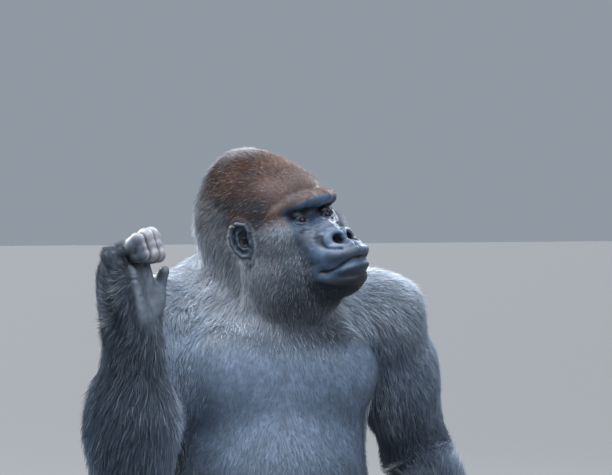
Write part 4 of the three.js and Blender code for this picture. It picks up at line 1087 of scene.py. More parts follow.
def faceColour(colour, q, bare, fold):
    l, f, u = q[:, 0], q[:, 1], q[:, 2]
    onFace = smooth(f, 60, 80) * (1 - smooth(-u, 150, 185)) * ((q ** 2).sum(1) < 300 ** 2)
    colour = blend(colour, "face", onFace * bare)
    colour = blend(colour, "muzzle", onFace * bare * smooth(f, 150, 185) * (1 - smooth(-u, 95, 108)))
    hollow = np.exp(-((np.abs(l) - 36) / 36) ** 4 - ((u - 24) / 13) ** 4) * (1 - smooth(f + 0.3 * (38 - u), 136, 152))
    colour = blend(colour, "paintedShade", onFace * hollow * 0.93)  # painted shade in the hollow under the brows, over the eyes
    # painted shade below the mouth, over the lower lip and chin
    colour = blend(colour, "lipsAndShade", onFace * smooth(-u, 97, 112) * smooth(f, 120, 150) * 0.75)
    # darker over the nose pad
    colour = blend(colour, "lipsAndShade", onFace * 0.4 * np.exp(-((u + 44) / 24) ** 4 - (l / 44) ** 4) * smooth(f, 150, 172))
    # painted shade in the folds
    colour = blend(colour, "lipsAndShade", onFace * smooth(fold, 0.5, 3.0) * 0.8)
    mouth = np.array(folds[0][0]) * (-1, 1)
    flat = np.stack([-np.abs(l), u], 1)
    onLip = onFace * smooth(f, 122, 146)
    # painted highlight along the lower lip, just under the mouth line
    colour = blend(colour, "muzzle", onLip * np.exp(-lineDistance(flat + (0, 8), mouth) / 5.0 ** 2) * 0.9)
    # painted shade in the mouth's line
    colour = blend(colour, "paintedShade", onLip * np.exp(-lineDistance(flat, mouth) / 2.7 ** 2) * 0.97)
    # painted shade on the side of the face, which is turned from the light
    sideShade = smooth(-u, -4, 20) * (1 - smooth(f - 0.25 * u, 146, 176))
    colour = blend(colour, "lipsAndShade", onFace * bare * sideShade * 0.45)
    # painted shade under the chin and under the nose
    chin = smooth(-u, 112, 138) + 0.7 * smooth(-u, 60, 76) * (1 - smooth(-u, 84, 98)) * smooth(f, 168, 190)
    colour = blend(colour, "paintedShade", onFace * chin * 0.8)
    # painted shade inside the nostrils
    nostril = np.zeros(len(q))
    for s in (-1, 1):
        r = np.sqrt(((l - s * 19.5) / 13.5) ** 2 + ((u + 48.5) / 11.5) ** 2)
        nostril = np.maximum(nostril, (1 - smooth(r, 0.85, 1.08)) * smooth(f, 150, 160))
    return blend(colour, "paintedShade", nostril)


def handColour(colour, p, bare, side):
    h = hands[side].local(p)
    length = pose["palmLength"][side]
    near = within(h, (-100, -120, -40), (100, 120, length + 110))
    colour = blend(colour, "palm", near * bare)
    backs = smooth(h[:, 2], length, length + 20) + smooth(h[:, 1], 52, 70) * smooth(h[:, 2], length - 60, length - 40)
    backs *= 1 - smooth(h[:, 0], 32, 40) * (h[:, 2] < length - 24)
    # finger backs: their own paler skin, with painted light on the sunlit right fist; the left hand, in shade, gets
    # half
    colour = blend(colour, "litFingerBack", near * bare * backs * (1.0 if side == "right" else 0.5))
    # painted shade in the creases between the bent fingers
    close = np.flatnonzero(near & (h[:, 2] > length - 50))
    crease = np.zeros(len(p))
    crease[close] = fingerCrease(p[close], side, 4.2)
    colour = blend(colour, "paintedShade", crease * 0.9)
    if side == "right":  # painted shade on the little finger's side, turned from the light, and inside the curled fingers
        outer = smooth(-(skinNormals @ hands[side].axes[0]), 0.35, 0.8) * smooth(-h[:, 0], 26, 36)
        colour = blend(colour, "fistSideShade", near * bare * outer * smooth(h[:, 2], length - 40, length - 10) * 0.85)
        curl = np.exp(-(((h[:, 1] - 26) / 15) ** 2) - ((h[:, 2] - length + 8) / 17) ** 2)
        colour = blend(colour, "paintedShade", near * curl)
    return colour


def skinColour(p, bare, values, fold):
    colour = blend(hairColour(p, values) * 0.85, "underCoat", np.full(len(p), 0.15))
    colour = faceColour(chestColour(colour, p), head.local(p), bare, fold)
    for side in sides:
        e = ears[side].local(p)
        colour = blend(colour, "ear", (((e / (29, 30, 43)) ** 2).sum(1) < 1) * bare)
        # painted shade in the ear's hollow
        colour = blend(colour, "paintedShade", 0.9 * np.exp(-(((e - (0, -3, 0)) / (9, 14, 24)) ** 4).sum(1)))
        colour = handColour(colour, p, bare, side)
        colour = blend(colour, "sole", onFoot(feet[side].local(p)) * bare)
    colour *= (1 + 0.14 * wander(p, 30, 7) + 0.08 * wander(p, 9, 11))[:, None]
    return np.clip(colour, 0.002, 1)


def wrinkles(p):  # fine wrinkles too small for the net: how far along their wave a place is, and their depth
    wave, depth = np.zeros(len(p)), np.zeros(len(p))
    for side in sides:
        h = hands[side].local(p)
        length = pose["palmLength"][side]
        near = within(h, (-80, -40, 10), (80, 120, length + 90))
        edge = near * smooth(-h[:, 0], 12, 34) * smooth(h[:, 1], 6, 20) * smooth(h[:, 2], 14, 34)
        edge *= 1 - smooth(h[:, 2], length - 34, length - 16)
        wave = np.where(edge > 0, (h[:, 2] + 0.35 * h[:, 1]) * 2 * math.pi / 3.6, wave)
        depth = np.maximum(depth, edge * 0.1)
    q = head.local(p)
    flat = np.stack([np.abs(q[:, 0]), q[:, 2]], 1)
    away = np.linalg.norm((flat - (eyes["apart"] / 2, eyes["up"])) * (0.75, 1), axis=1)
    under = (q[:, 1] > 90) * smooth(away, 13, 17) * (1 - smooth(away, 26, 34)) * smooth(6 - q[:, 2], 0, 8)
    wave = np.where(under > 0, away * 2 * math.pi / 3.1, wave)
    depth = np.maximum(depth, under * 0.1 * (1 - smooth(flat[:, 0], 46, 56)))
    lip = (q[:, 1] > 150) * smooth(-q[:, 2], 60, 68) * (1 - smooth(-q[:, 2], 86, 92)) * (1 - smooth(flat[:, 0], 34, 48))
    wave = np.where(lip > 0, q[:, 0] * 2 * math.pi / 5.5, wave)
    return wave, np.maximum(depth, lip * 0.12)


def keep(mesh, name, kind, domain, values):  # stores values on the mesh under a name
    attribute = mesh.attributes.new(name, kind, domain)
    field = {"FLOAT": "value", "FLOAT_VECTOR": "vector", "FLOAT_COLOR": "color", "FLOAT2": "vector"}[kind]
    if kind == "FLOAT_COLOR":
        values = np.concatenate([values, np.ones((len(values), 1))], 1)
    attribute.data.foreach_set(field, np.asarray(values, np.float32).ravel())


bareNow = bareShare(skinPoints)
shares = planShares(skinPoints)
coatValues = shares @ planValues
coatLie = shares @ planLie
coatTint = hairColour(skinPoints, coatValues)
skinTint = skinColour(skinPoints, bareNow, coatValues, skinFolds)

skinMesh = meshOf("gorillaSkin", skinPoints, skinTris)
keep(skinMesh, "tint", "FLOAT_COLOR", "POINT", skinTint)
keep(skinMesh, "bare", "FLOAT", "POINT", bareNow)
for label, values in zip(("wrinkleWave", "wrinkleDepth"), wrinkles(skinPoints)):
    keep(skinMesh, label, "FLOAT", "POINT", values)
gorillaSkin = shown("gorillaSkin", skinMesh)
stage("skin coloured")


def unwrap(obj):  # gives the skin its OFBake map, and returns it for the roots of the locks
    mesh = obj.data
    mesh.uv_layers.new(name="OFBake")
    bpy.context.view_layer.objects.active = obj
    obj.select_set(True)
    bpy.ops.object.mode_set(mode="EDIT")
    bpy.ops.mesh.select_all(action="SELECT")
    bpy.ops.uv.smart_project(angle_limit=math.radians(75), island_margin=0.002, scale_to_bounds=False)
    bpy.ops.object.mode_set(mode="OBJECT")
    obj.select_set(False)
    flat = np.empty(len(mesh.loops) * 2, np.float32)
    mesh.uv_layers["OFBake"].data.foreach_get("uv", flat)
    return flat.reshape(-1, 3, 2)


skinUv = unwrap(gorillaSkin)
stage("skin unwrapped")

flesh = [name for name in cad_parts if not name.startswith("eye_")]
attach(gorillaSkin, "root")
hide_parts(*flesh)


class Tree:  # a node tree that is built with one call for each node; i0, i1 and so on are sockets by number
    def __init__(self, tree):
        self.tree = tree

    def add(self, kind, settings=None, **links):
        node = self.tree.nodes.new(kind)
        for key, value in (settings or {}).items():
            setattr(node, key, value)
        for key, value in links.items():
            name = key.replace("_", " ")
            socket = node.inputs[int(key[1:])] if key[0] == "i" and key[1:].isdigit() else node.inputs[name]
            if isinstance(value, bpy.types.NodeSocket):
                self.tree.links.new(value, socket)
            else:
                socket.default_value = value
        return node


def newMaterial(name):
    material = bpy.data.materials.new(name)
    material.use_nodes = True
    material.node_tree.nodes.clear()
    return material, Tree(material.node_tree)


# How often each pattern comes in a metre: grain of 2.3 mm, pores of 1.1 mm, mottles of 14 mm, and bends of 12 mm in
# the wrinkles. Grain and pores are drawn about twice as coarse as real ones, or they wouldn't show.
skinPatterns = {"grain": 430.0, "pores": 900.0, "mottle": 70.0, "bends": 85.0}


def makeSkinMaterial():  # gorilla's skin: slate black, fine-grained leather with a soft oily shine
    material, t = newMaterial("slateSkin")
    tint = t.add("ShaderNodeAttribute", {"attribute_name": "tint"})
    bare = t.add("ShaderNodeAttribute", {"attribute_name": "bare"})
    place, often = t.add("ShaderNodeTexCoord").outputs["Object"], skinPatterns
    grain = t.add("ShaderNodeTexVoronoi", {"feature": "DISTANCE_TO_EDGE"}, Vector=place, Scale=often["grain"])
    pores = t.add("ShaderNodeTexNoise", None, Vector=place, Scale=often["pores"], Detail=3.0)
    mottle = t.add("ShaderNodeTexNoise", None, Vector=place, Scale=often["mottle"], Detail=4.0)
    lines = t.add("ShaderNodeMapRange", None, Value=grain.outputs["Distance"], i1=0.0, i2=0.18, i3=0.0, i4=1.0)
    mixed = t.add("ShaderNodeMath", {"operation": "MULTIPLY_ADD"}, i0=pores.outputs[0], i1=0.5, i2=lines.outputs[0])
    shade = t.add("ShaderNodeMapRange", None, Value=mottle.outputs[0], i1=0.3, i2=0.7, i3=0.82, i4=1.16)
    # painted shade: the colour is a little darker in the grain's lines
    grainShade = t.add("ShaderNodeMapRange", None, Value=lines.outputs[0], i1=0.0, i2=1.0, i3=0.92, i4=1.0)
    both = t.add("ShaderNodeMath", {"operation": "MULTIPLY"}, i0=shade.outputs[0], i1=grainShade.outputs[0])
    colour = t.add("ShaderNodeVectorMath", {"operation": "SCALE"}, i0=tint.outputs["Color"], Scale=both.outputs[0])
    rough = t.add("ShaderNodeMapRange", None, Value=mottle.outputs[0], i1=0.3, i2=0.7, i3=0.46, i4=0.6)
    strength = t.add("ShaderNodeMath", {"operation": "MULTIPLY_ADD"}, i0=bare.outputs["Fac"], i1=0.03, i2=0.04)
    bump = t.add("ShaderNodeBump", None, Strength=strength.outputs[0], Distance=0.0012, Height=mixed.outputs[0])
    wave = t.add("ShaderNodeAttribute", {"attribute_name": "wrinkleWave"})
    depth = t.add("ShaderNodeAttribute", {"attribute_name": "wrinkleDepth"})
    bent = t.add("ShaderNodeTexNoise", None, Vector=place, Scale=often["bends"], Detail=3.0)
    phase = t.add("ShaderNodeMath", {"operation": "MULTIPLY_ADD"}, i0=bent.outputs[0], i1=13.0, i2=wave.outputs["Fac"])
    ridge = t.add("ShaderNodeMath", {"operation": "SINE"}, i0=phase.outputs[0])
    height = t.add("ShaderNodeMath", {"operation": "MULTIPLY"}, i0=ridge.outputs[0], i1=depth.outputs["Fac"])
    wrinkled = t.add("ShaderNodeBump", None, Strength=0.6, Distance=0.0009, Height=height.outputs[0],
                     Normal=bump.outputs[0])
    shader = t.add("ShaderNodeBsdfPrincipled", None, Base_Color=colour.outputs[0], Roughness=rough.outputs[0],
                   Normal=wrinkled.outputs[0])
    shader.inputs["IOR"].default_value = 1.45
    shader.inputs["Specular IOR Level"].default_value = 0.55
    t.add("ShaderNodeOutputMaterial", None, Surface=shader.outputs[0])
    return material


def makeHairMaterial(name, rough, paleTip, gain):  # coarse guard hair, dark at the root and paler at the tip
    material, t = newMaterial(name)
    tint = t.add("ShaderNodeAttribute", {"attribute_name": "hairTint"})
    along = t.add("ShaderNodeAttribute", {"attribute_name": "along"})
    lockTone = t.add("ShaderNodeAttribute", {"attribute_name": "lockTone"})
    pale = t.add("ShaderNodeAttribute", {"attribute_name": "lockPale"})
    rootTip = t.add("ShaderNodeMapRange", None, Value=along.outputs["Fac"], i1=0.0, i2=0.9, i3=0.82, i4=1.12)
    each = t.add("ShaderNodeMapRange", None, Value=lockTone.outputs["Fac"], i1=0.0, i2=1.0, i3=0.6 * gain,
                 i4=1.4 * gain)
    both = t.add("ShaderNodeMath", {"operation": "MULTIPLY"}, i0=rootTip.outputs[0], i1=each.outputs[0])
    base = t.add("ShaderNodeVectorMath", {"operation": "SCALE"}, i0=tint.outputs["Color"], Scale=both.outputs[0])
    tip = t.add("ShaderNodeMapRange", None, Value=along.outputs["Fac"], i1=0.15, i2=0.75, i3=0.0, i4=1.0)
    share = t.add("ShaderNodeMath", {"operation": "MULTIPLY"}, i0=tip.outputs[0], i1=pale.outputs["Fac"])
    mixed = t.add("ShaderNodeMix", {"data_type": "RGBA"}, i0=share.outputs[0], i6=base.outputs[0],
                  i7=(*linear(paleTip), 1))
    shader = t.add("ShaderNodeBsdfPrincipled", None, Base_Color=mixed.outputs[2])
    shader.inputs["Roughness"].default_value = rough
    shader.inputs["IOR"].default_value = 1.55
    shader.inputs["Specular IOR Level"].default_value = 0.3
    t.add("ShaderNodeOutputMaterial", None, Surface=shader.outputs[0])
    return material


gorillaSkin.data.materials.append(makeSkinMaterial())
coatMaterials = {
    "crownHair": makeHairMaterial("crownHair", 0.6, "#b9b6b6", 0.88),
    "greyHair": makeHairMaterial("greyHair", 0.6, "#ced6dd", 0.92),
    "blackHair": makeHairMaterial("blackHair", 0.58, "#9ba0a4", 0.88),
}
stage("skin and hair materials")


# The coat is locks on the skin, one piece for each part of the body. More locks in a piece are narrower.
coat = {"lockWidth": 0.62, "lockDensity": 1.4, "ruffle": 0.12, "sway": 0.2, "seed": 11, "most": 32700,
        "share": {"rightForearmCoat": 1.8, "rightArmCoat": 1.6, "leftArmCoat": 1.35, "neckCoat": 2.5,
                  "leftForearmCoat": 0.9, "rightLegCoat": 0.66, "leftLegCoat": 0.66, "rightBackCoat": 0.72,
                  "leftBackCoat": 0.68, "rightHeadCoat": 1.15, "leftHeadCoat": 1.15, "frontCoat": 1.2}}


def lockTree():
    tree = bpy.data.node_groups.new("coatLocks", "GeometryNodeTree")
    face = tree.interface
    face.new_socket("Geometry", in_out="INPUT", socket_type="NodeSocketGeometry")
    for name, value in (("Locks share", 1.0), ("Width share", 1.0), ("Ruffle", 0.15), ("Sway", 0.3)):
        socket = face.new_socket(name, in_out="INPUT", socket_type="NodeSocketFloat")
        socket.default_value = value
    face.new_socket("Seed", in_out="INPUT", socket_type="NodeSocketInt")
    face.new_socket("Material", in_out="INPUT", socket_type="NodeSocketMaterial")
    face.new_socket("Geometry", in_out="OUTPUT", socket_type="NodeSocketGeometry")
    t = Tree(tree)
    made = dict(t.add("NodeGroupInput").outputs.items())  # sockets by name, for the sums below
    for kind, names in (("FLOAT", ("locks", "fleck", "hairLength", "coatDepth", "hairWidth", "along", "beside")),
                        ("FLOAT_VECTOR", ("lie", "rootUv"))):
        for name in names:
            read = t.add("GeometryNodeInputNamedAttribute", {"data_type": kind}, Name=name)
            made[name] = read.outputs["Attribute"]
    for salt, name, low, high in ((21, "toneChance", -0.5, 0.5), (22, "paleChance", 0.0, 1.0), (23, "pale", 0.35, 1.0),
                                  (24, "grow", 0.72, 1.12), (25, "stand", 0.3, 1.1), (27, "broad", 0.6, 1.3)):
        seed = t.add("ShaderNodeMath", {"operation": "ADD"}, i0=made["Seed"], i1=float(salt)).outputs[0]
        made[name] = t.add("FunctionNodeRandomValue", {"data_type": "FLOAT"}, Seed=seed, i2=low, i3=high).outputs[1]
    seed = t.add("ShaderNodeMath", {"operation": "ADD"}, i0=made["Seed"], i1=26.0).outputs[0]
    anyWay = t.add("FunctionNodeRandomValue", {"data_type": "FLOAT_VECTOR"}, Seed=seed, i0=(-1.0,) * 3, i1=(1.0,) * 3)
    place = t.add("GeometryNodeInputPosition").outputs[0]
    at = t.add("ShaderNodeSeparateXYZ", None, i0=place).outputs
    made.update(atX=at[0], atY=at[1], atZ=at[2])
    for name, operation, *inputs in (
        ("density", "MULTIPLY", "locks", "Locks share"),
        ("spread", "MULTIPLY_ADD", "fleck", 0.6, 0.4),  # grizzled hair is more uneven
        ("lockTone", "MULTIPLY_ADD", "toneChance", "spread", 0.5),
        ("paleShare", "MULTIPLY", "fleck", 0.45),
        ("isPale", "LESS_THAN", "paleChance", "paleShare"),
        ("lockPale", "MULTIPLY", "isPale", "pale"),
        ("length", "MULTIPLY", "hairLength", "grow"),
        ("depth", "MULTIPLY", "coatDepth", "stand"),
        ("tipHeight", "MULTIPLY", "depth", 0.75),
        ("lift", "DIVIDE", "tipHeight", "length"),
        ("evenWidth", "MULTIPLY", "hairWidth", "Width share"),
        ("width", "MULTIPLY", "evenWidth", "broad"),
        ("tuftSway", "MULTIPLY", "Sway", 4.0),
        ("fineSway", "MULTIPLY", "Sway", 3.2),
        # A lock is a three-sided, six-faced ball, drawn out along Z and bent into a low roof over the skin.
        ("square", "MULTIPLY", "atZ", "atZ"),
        ("bow", "SUBTRACT", 1.0, "square"),
        ("roof", "MULTIPLY", "bow", 0.24),
        ("stretch", "MULTIPLY_ADD", "atZ", 0.12, 0.5),
        ("lockX", "MULTIPLY", "atY", 0.5),
        ("lockY", "MULTIPLY_ADD", "atX", 0.045, "roof"),
        ("lockZ", "MULTIPLY_ADD", "stretch", "atZ", 0.38),
        ("patchX", "MULTIPLY", "beside", 0.002),  # a lock's patch of the OFBake map
        ("patchY", "MULTIPLY", "along", 0.003),
    ):
        links = {f"i{k}": made.get(value, value) for k, value in enumerate(inputs)}
        made[name] = t.add("ShaderNodeMath", {"operation": operation}, **links).outputs[0]

    scatter = t.add("GeometryNodeDistributePointsOnFaces", None, Mesh=made["Geometry"], Density=made["density"],
                    Seed=made["Seed"])
    points, normal = scatter.outputs["Points"], scatter.outputs["Normal"]
    for name in ("lockTone", "lockPale"):
        points = t.add("GeometryNodeStoreNamedAttribute", None, Geometry=points, Name=name,
                       Value=made[name]).outputs[0]

    scaled, added = {"operation": "SCALE"}, {"operation": "ADD"}
    ruffled = t.add("ShaderNodeVectorMath", scaled, i0=anyWay.outputs[0], Scale=made["Ruffle"])
    for size, sway in ((95.0, "tuftSway"), (240.0, "fineSway")):  # neighbours lean together, in tufts of 10 and 4 mm
        cloud = t.add("ShaderNodeTexNoise", None, Vector=place, Scale=size, Detail=1.0)
        even = t.add("ShaderNodeVectorMath", {"operation": "SUBTRACT"}, i0=cloud.outputs["Color"], i1=(0.5,) * 3)
        lean = t.add("ShaderNodeVectorMath", scaled, i0=even.outputs[0], Scale=made[sway])
        ruffled = t.add("ShaderNodeVectorMath", added, i0=ruffled.outputs[0], i1=lean.outputs[0])
    lifted = t.add("ShaderNodeVectorMath", scaled, i0=normal, Scale=made["lift"])
    way = t.add("ShaderNodeVectorMath", added, i0=made["lie"], i1=lifted.outputs[0])
    way = t.add("ShaderNodeVectorMath", added, i0=way.outputs[0], i1=ruffled.outputs[0])
    way = t.add("ShaderNodeVectorMath", {"operation": "NORMALIZE"}, i0=way.outputs[0])
    turn = t.add("FunctionNodeAxesToRotation", {"primary_axis": "Z", "secondary_axis": "Y"},
                 Primary_Axis=way.outputs[0], Secondary_Axis=normal)
    scale = t.add("ShaderNodeCombineXYZ", None, X=made["width"], Y=made["depth"], Z=made["length"])

    lock = t.add("GeometryNodeMeshUVSphere", None, Segments=3, Rings=2, Radius=1.0).outputs["Mesh"]
    shaped = t.add("ShaderNodeCombineXYZ", None, X=made["lockX"], Y=made["lockY"], Z=made["lockZ"])
    lock = t.add("GeometryNodeSetPosition", None, Geometry=lock, Position=shaped.outputs[0]).outputs[0]
    for name, value in (("along", made["atZ"]), ("beside", made["atX"])):
        lock = t.add("GeometryNodeStoreNamedAttribute", None, Geometry=lock, Name=name, Value=value).outputs[0]
    placed = t.add("GeometryNodeInstanceOnPoints", None, Points=points, Instance=lock,
                   Rotation=turn.outputs[0], Scale=scale.outputs[0])
    real = t.add("GeometryNodeRealizeInstances", None, Geometry=placed.outputs[0])
    patch = t.add("ShaderNodeCombineXYZ", None, X=made["patchX"], Y=made["patchY"], Z=0.0)
    mapped = t.add("ShaderNodeVectorMath", added, i0=made["rootUv"], i1=patch.outputs[0])
    real = t.add("GeometryNodeStoreNamedAttribute", {"data_type": "FLOAT2", "domain": "CORNER"},
                 Geometry=real.outputs[0], Name="OFBake", Value=mapped.outputs[0])
    real = t.add("GeometryNodeSetShadeSmooth", None, Geometry=real.outputs[0], Shade_Smooth=False)
    real = t.add("GeometryNodeSetMaterial", None, Geometry=real.outputs[0], Material=made["Material"])
    t.add("NodeGroupOutput", None, Geometry=real.outputs[0])
    return tree


def bodyParts():  # which part of the coat each triangle of the skin carries
    middle = skinPoints[skinTris].mean(1)
    q = head.local(middle)
    part = np.full(len(middle), "", dtype="U20")
    part[:] = np.where(middle[:, 1] < 20, "frontCoat", np.where(middle[:, 0] < 0, "rightBackCoat", "leftBackCoat"))
    nearest = joined(trunk, middle)
    for side, s in sides.items():
        mine = middle[:, 0] * s >= 0
        arm = joined(armShapes(side) + handShapes(side), middle)
        leg = joined(legShapes(side) + footShapes(side), middle)
        upper, lower = (distance(rod(pose[a][side], pose[b][side], 90, 76), middle)
                        for a, b in (("shoulder", "elbow"), ("elbow", "wrist")))
        lower = np.minimum(lower, joined(handShapes(side), middle))
        isArm = mine & (arm < nearest) & (arm < leg)
        part[isArm] = np.where(lower[isArm] < upper[isArm], side + "ForearmCoat", side + "ArmCoat")
        part[mine & (leg < nearest) & (leg <= arm)] = side + "LegCoat"
    onHead = ((q / (190, 230, 210)) ** 2).sum(1) < 1
    part[onHead] = np.where(q[onHead, 0] < 0, "rightHeadCoat", "leftHeadCoat")
    neck = (joined(trunk[-1:], middle) < 30) & ~onHead & (middle[:, 2] > 770)
    part[neck] = "neckCoat"
    return part


def coatSource(name, faces):  # the patch of skin that one piece of the coat grows on, and how many locks it wants
    used, tris = np.unique(skinTris[faces], return_inverse=True)
    tris = tris.reshape(-1, 3)
    places, n = skinPoints[used], skinNormals[used]
    length, depth, locks, _, _, fleck = coatValues[used].T
    mesh = meshOf(name, places, tris)
    height = places[:, 2]
    low = smooth(height, 8, 80)  # hair near the floor lies level and short
    way = coatLie[used] * np.stack([np.ones(len(used)), np.ones(len(used)), low], 1)
    lie = way - n * (way * n).sum(1, keepdims=True)
    lie /= np.linalg.norm(lie, axis=1, keepdims=True) + 1e-6
    sway = np.stack([wander(places, 70, 31 + k) for k in range(3)], 1) * 0.22
    lie += sway - n * (sway * n).sum(1, keepdims=True)
    hairy = (1 - smooth(bareNow[used], 0.45, 0.97)) * (height > 7)
    fade = bareShare(places, 3.4)  # hair gets shorter, finer and flatter towards bare skin
    keep(mesh, "lie", "FLOAT_VECTOR", "POINT", lie)
    keep(mesh, "hairLength", "FLOAT", "POINT", length * (1 - 0.72 * fade) * (0.45 + 0.55 * low) / 1000)
    keep(mesh, "coatDepth", "FLOAT", "POINT", (depth * (1 - 0.95 * fade) + 0.7) / 1000)
    width = np.minimum(np.clip(6.4 / np.sqrt(locks + 1), 1.1, 3.2), 0.5 + length / 13)
    keep(mesh, "hairWidth", "FLOAT", "POINT", width * (1 - 0.45 * fade) / 1000)
    keep(mesh, "locks", "FLOAT", "POINT", locks * 1e4 * hairy)  # for a square metre
    keep(mesh, "fleck", "FLOAT", "POINT", fleck)
    tint = coatTint[used] + (skinTint[used] - coatTint[used]) * (0.7 * smooth(fade, 0.3, 1.0))[:, None]
    keep(mesh, "hairTint", "FLOAT_COLOR", "POINT", tint)
    keep(mesh, "rootUv", "FLOAT2", "CORNER", skinUv[faces].reshape(-1, 2))
    p = places[tris]
    area = np.linalg.norm(np.cross(p[:, 1] - p[:, 0], p[:, 2] - p[:, 0]), axis=1) / 2 / 1e6
    count = (area * (locks[tris].mean(1) * 1e4 * hairy[tris].mean(1))).sum()
    return mesh, count


coatLocks = lockTree()


def makeCoat(name, faces, material, seed):
    mesh, count = coatSource(name + "Skin", faces)
    source = shown(name + "Skin", mesh)
    modifier = source.modifiers.new("locks", "NODES")
    modifier.node_group = coatLocks
    share = coat["share"][name]
    given = {"Locks share": min(coat["lockDensity"] * share, coat["most"] / max(count, 1)),
             "Width share": coat["lockWidth"] / share ** 0.45,
             "Ruffle": coat["ruffle"], "Sway": coat["sway"], "Seed": seed, "Material": material}
    for socket in coatLocks.interface.items_tree:
        if socket.in_out == "INPUT" and socket.name in given:
            modifier[socket.identifier] = given[socket.name]
    source.update_tag()
    graph = bpy.context.evaluated_depsgraph_get()
    result = bpy.data.meshes.new_from_object(source.evaluated_get(graph), preserve_all_data_layers=True,
                                             depsgraph=graph)
    bpy.data.objects.remove(source)
    result.name = name
    for extra in ("lie", "hairLength", "coatDepth", "hairWidth", "locks", "fleck", "rootUv", "beside"):
        if extra in result.attributes:
            result.attributes.remove(result.attributes[extra])
    piece = shown(name, result)
    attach(piece, "root")
    print(f"{name}: {len(result.polygons)} faces, maps {[u.name for u in result.uv_layers]}")


def hairOf(name):  # which hair a piece of the coat has
    if "Head" in name:
        return "crownHair"
    return "blackHair" if any(limb in name for limb in ("Leg", "Arm", "Forearm")) else "greyHair"


partOf = bodyParts()
for number, name in enumerate(sorted(set(partOf))):
    makeCoat(name, np.flatnonzero(partOf == name), coatMaterials[hairOf(name)], coat["seed"] + number)
stage("coat grown")


def makeEyes():  # balls whose clear front stands out a little
    rings, turns = 40, 48
    gaze = unit(head.axes[1] + head.axes[2] * 0.08)
    side = unit(np.cross(gaze, head.axes[2]))
    rise = np.cross(side, gaze)
    places, faces, angles = [], [], []
    for s in (-1, 1):
        first = len(places)
        centre = head.at(s * eyes["apart"] / 2, eyes["forward"], eyes["up"])
        for i in range(rings + 1):
            a = math.pi * (i / rings) ** 1.2
            swell = 1 + 0.055 * math.exp(-(a / 0.42) ** 4)
            for j in range(turns):
                b = 2 * math.pi * j / turns
                way = gaze * math.cos(a) + (side * math.cos(b) + rise * math.sin(b)) * math.sin(a)
                places.append(centre + way * eyes["radius"] * swell)
                angles.append(a)
        for i in range(rings):
            for j in range(turns):
                near, k = first + i * turns, (j + 1) % turns
                faces.append([near + j, near + turns + j, near + turns + k, near + k])
    mesh = bpy.data.meshes.new("eyes")
    mesh.from_pydata((np.array(places) / 1000).tolist(), [], faces)
    keep(mesh, "gazeAngle", "FLOAT", "POINT", np.array(angles))
    obj = shown("eyes", mesh)
    bm = bmesh.new()
    bm.from_mesh(mesh)
    bmesh.ops.remove_doubles(bm, verts=bm.verts, dist=1e-6)
    bmesh.ops.recalc_face_normals(bm, faces=bm.faces)
    for f in bm.faces:
        f.smooth = True
    bm.to_mesh(mesh)
    bm.free()
    return obj


def makeEyeMaterial():  # black pupil, red-brown ring, brown-black ball, under a clear wet surface
    material, t = newMaterial("wetEye")
    angle = t.add("ShaderNodeAttribute", {"attribute_name": "gazeAngle"})
    ramp = t.add("ShaderNodeValToRGB", None, Fac=angle.outputs["Fac"])
    stops = ((0.0, "#030202"), (0.17, "#040302"), (0.21, "#2a0c07"), (0.32, "#43150c"), (0.42, "#310e07"),
             (0.47, "#140a08"), (0.56, "#241512"), (0.75, "#2c1c18"), (1.0, "#1e1412"))
    elements = ramp.color_ramp.elements
    while len(elements) < len(stops):
        elements.new(0.5)
    for element, (at, colour) in zip(elements, stops):
        element.position = at
        element.color = (*linear(colour), 1)
    shader = t.add("ShaderNodeBsdfPrincipled", None, Base_Color=ramp.outputs[0])
    shader.inputs["Roughness"].default_value = 0.22
    shader.inputs["Specular IOR Level"].default_value = 0.25
    shader.inputs["IOR"].default_value = 1.38
    shader.inputs["Coat Weight"].default_value = 0.35
    shader.inputs["Coat Roughness"].default_value = 0.02
    t.add("ShaderNodeOutputMaterial", None, Surface=shader.outputs[0])
    return material


gorillaEyes = makeEyes()
gorillaEyes.data.materials.append(makeEyeMaterial())
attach(gorillaEyes, "root")
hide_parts(*[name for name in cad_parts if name.startswith("eye_")])
stage("eyes")


def matrixOf(columns, at):  # a matrix from three axes and a place in millimetres
    m = Matrix([(*row,) for row in np.stack(columns, 1)]).to_4x4()
    m.translation = at / 1000
    return m


# Radius of the digit and half the nail's width for a toe, great toe and thumb, then how thick every nail is, how far
# it's sunk into the digit and how far it sits back from the tip. A finger has its own radius.
nails = {"toe": (11, 6.5), "greatToe": (14, 8.5), "thumb": (11, 7.5), "fingerWidth": 7, "thick": 1.7, "sunk": 1.2,
         "back": 2.0}


def nailPlaces():  # each nail's digit tip, its way out of the digit and along it, the digit's radius, half its width
    spots = []
    for side in sides:
        f, h = feet[side], hands[side]
        toeOut, toeAlong = f.turned((0, 0.5, 0.87)), f.turned((0, 0.87, -0.5))
        spots += [(f.at(*toePath(i)[2]), toeOut, toeAlong, *nails["toe"]) for i in range(4)]
        spots.append((f.at(*greatToeTip), toeOut, toeAlong, *nails["greatToe"]))
        bend, tip = (np.array(v, float) for v in fingers["thumb"][side][1:])
        way = unit(tip - bend)
        out = np.array((0.8, -0.6, 0))
        spots.append((h.at(*tip), h.turned(unit(out - way * (out @ way))), h.turned(way), *nails["thumb"]))
    h = hands["left"]
    a = math.radians(pose["fingerBends"]["left"][2])
    for i in range(4):
        spots.append((h.at(*fingerPath("left", i)[3]), h.turned((0, -math.cos(a), math.sin(a))),
                      h.turned((0, math.sin(a), math.cos(a))), fingers["bones"]["left"][i][3] - 2.5,
                      nails["fingerWidth"]))
    return spots


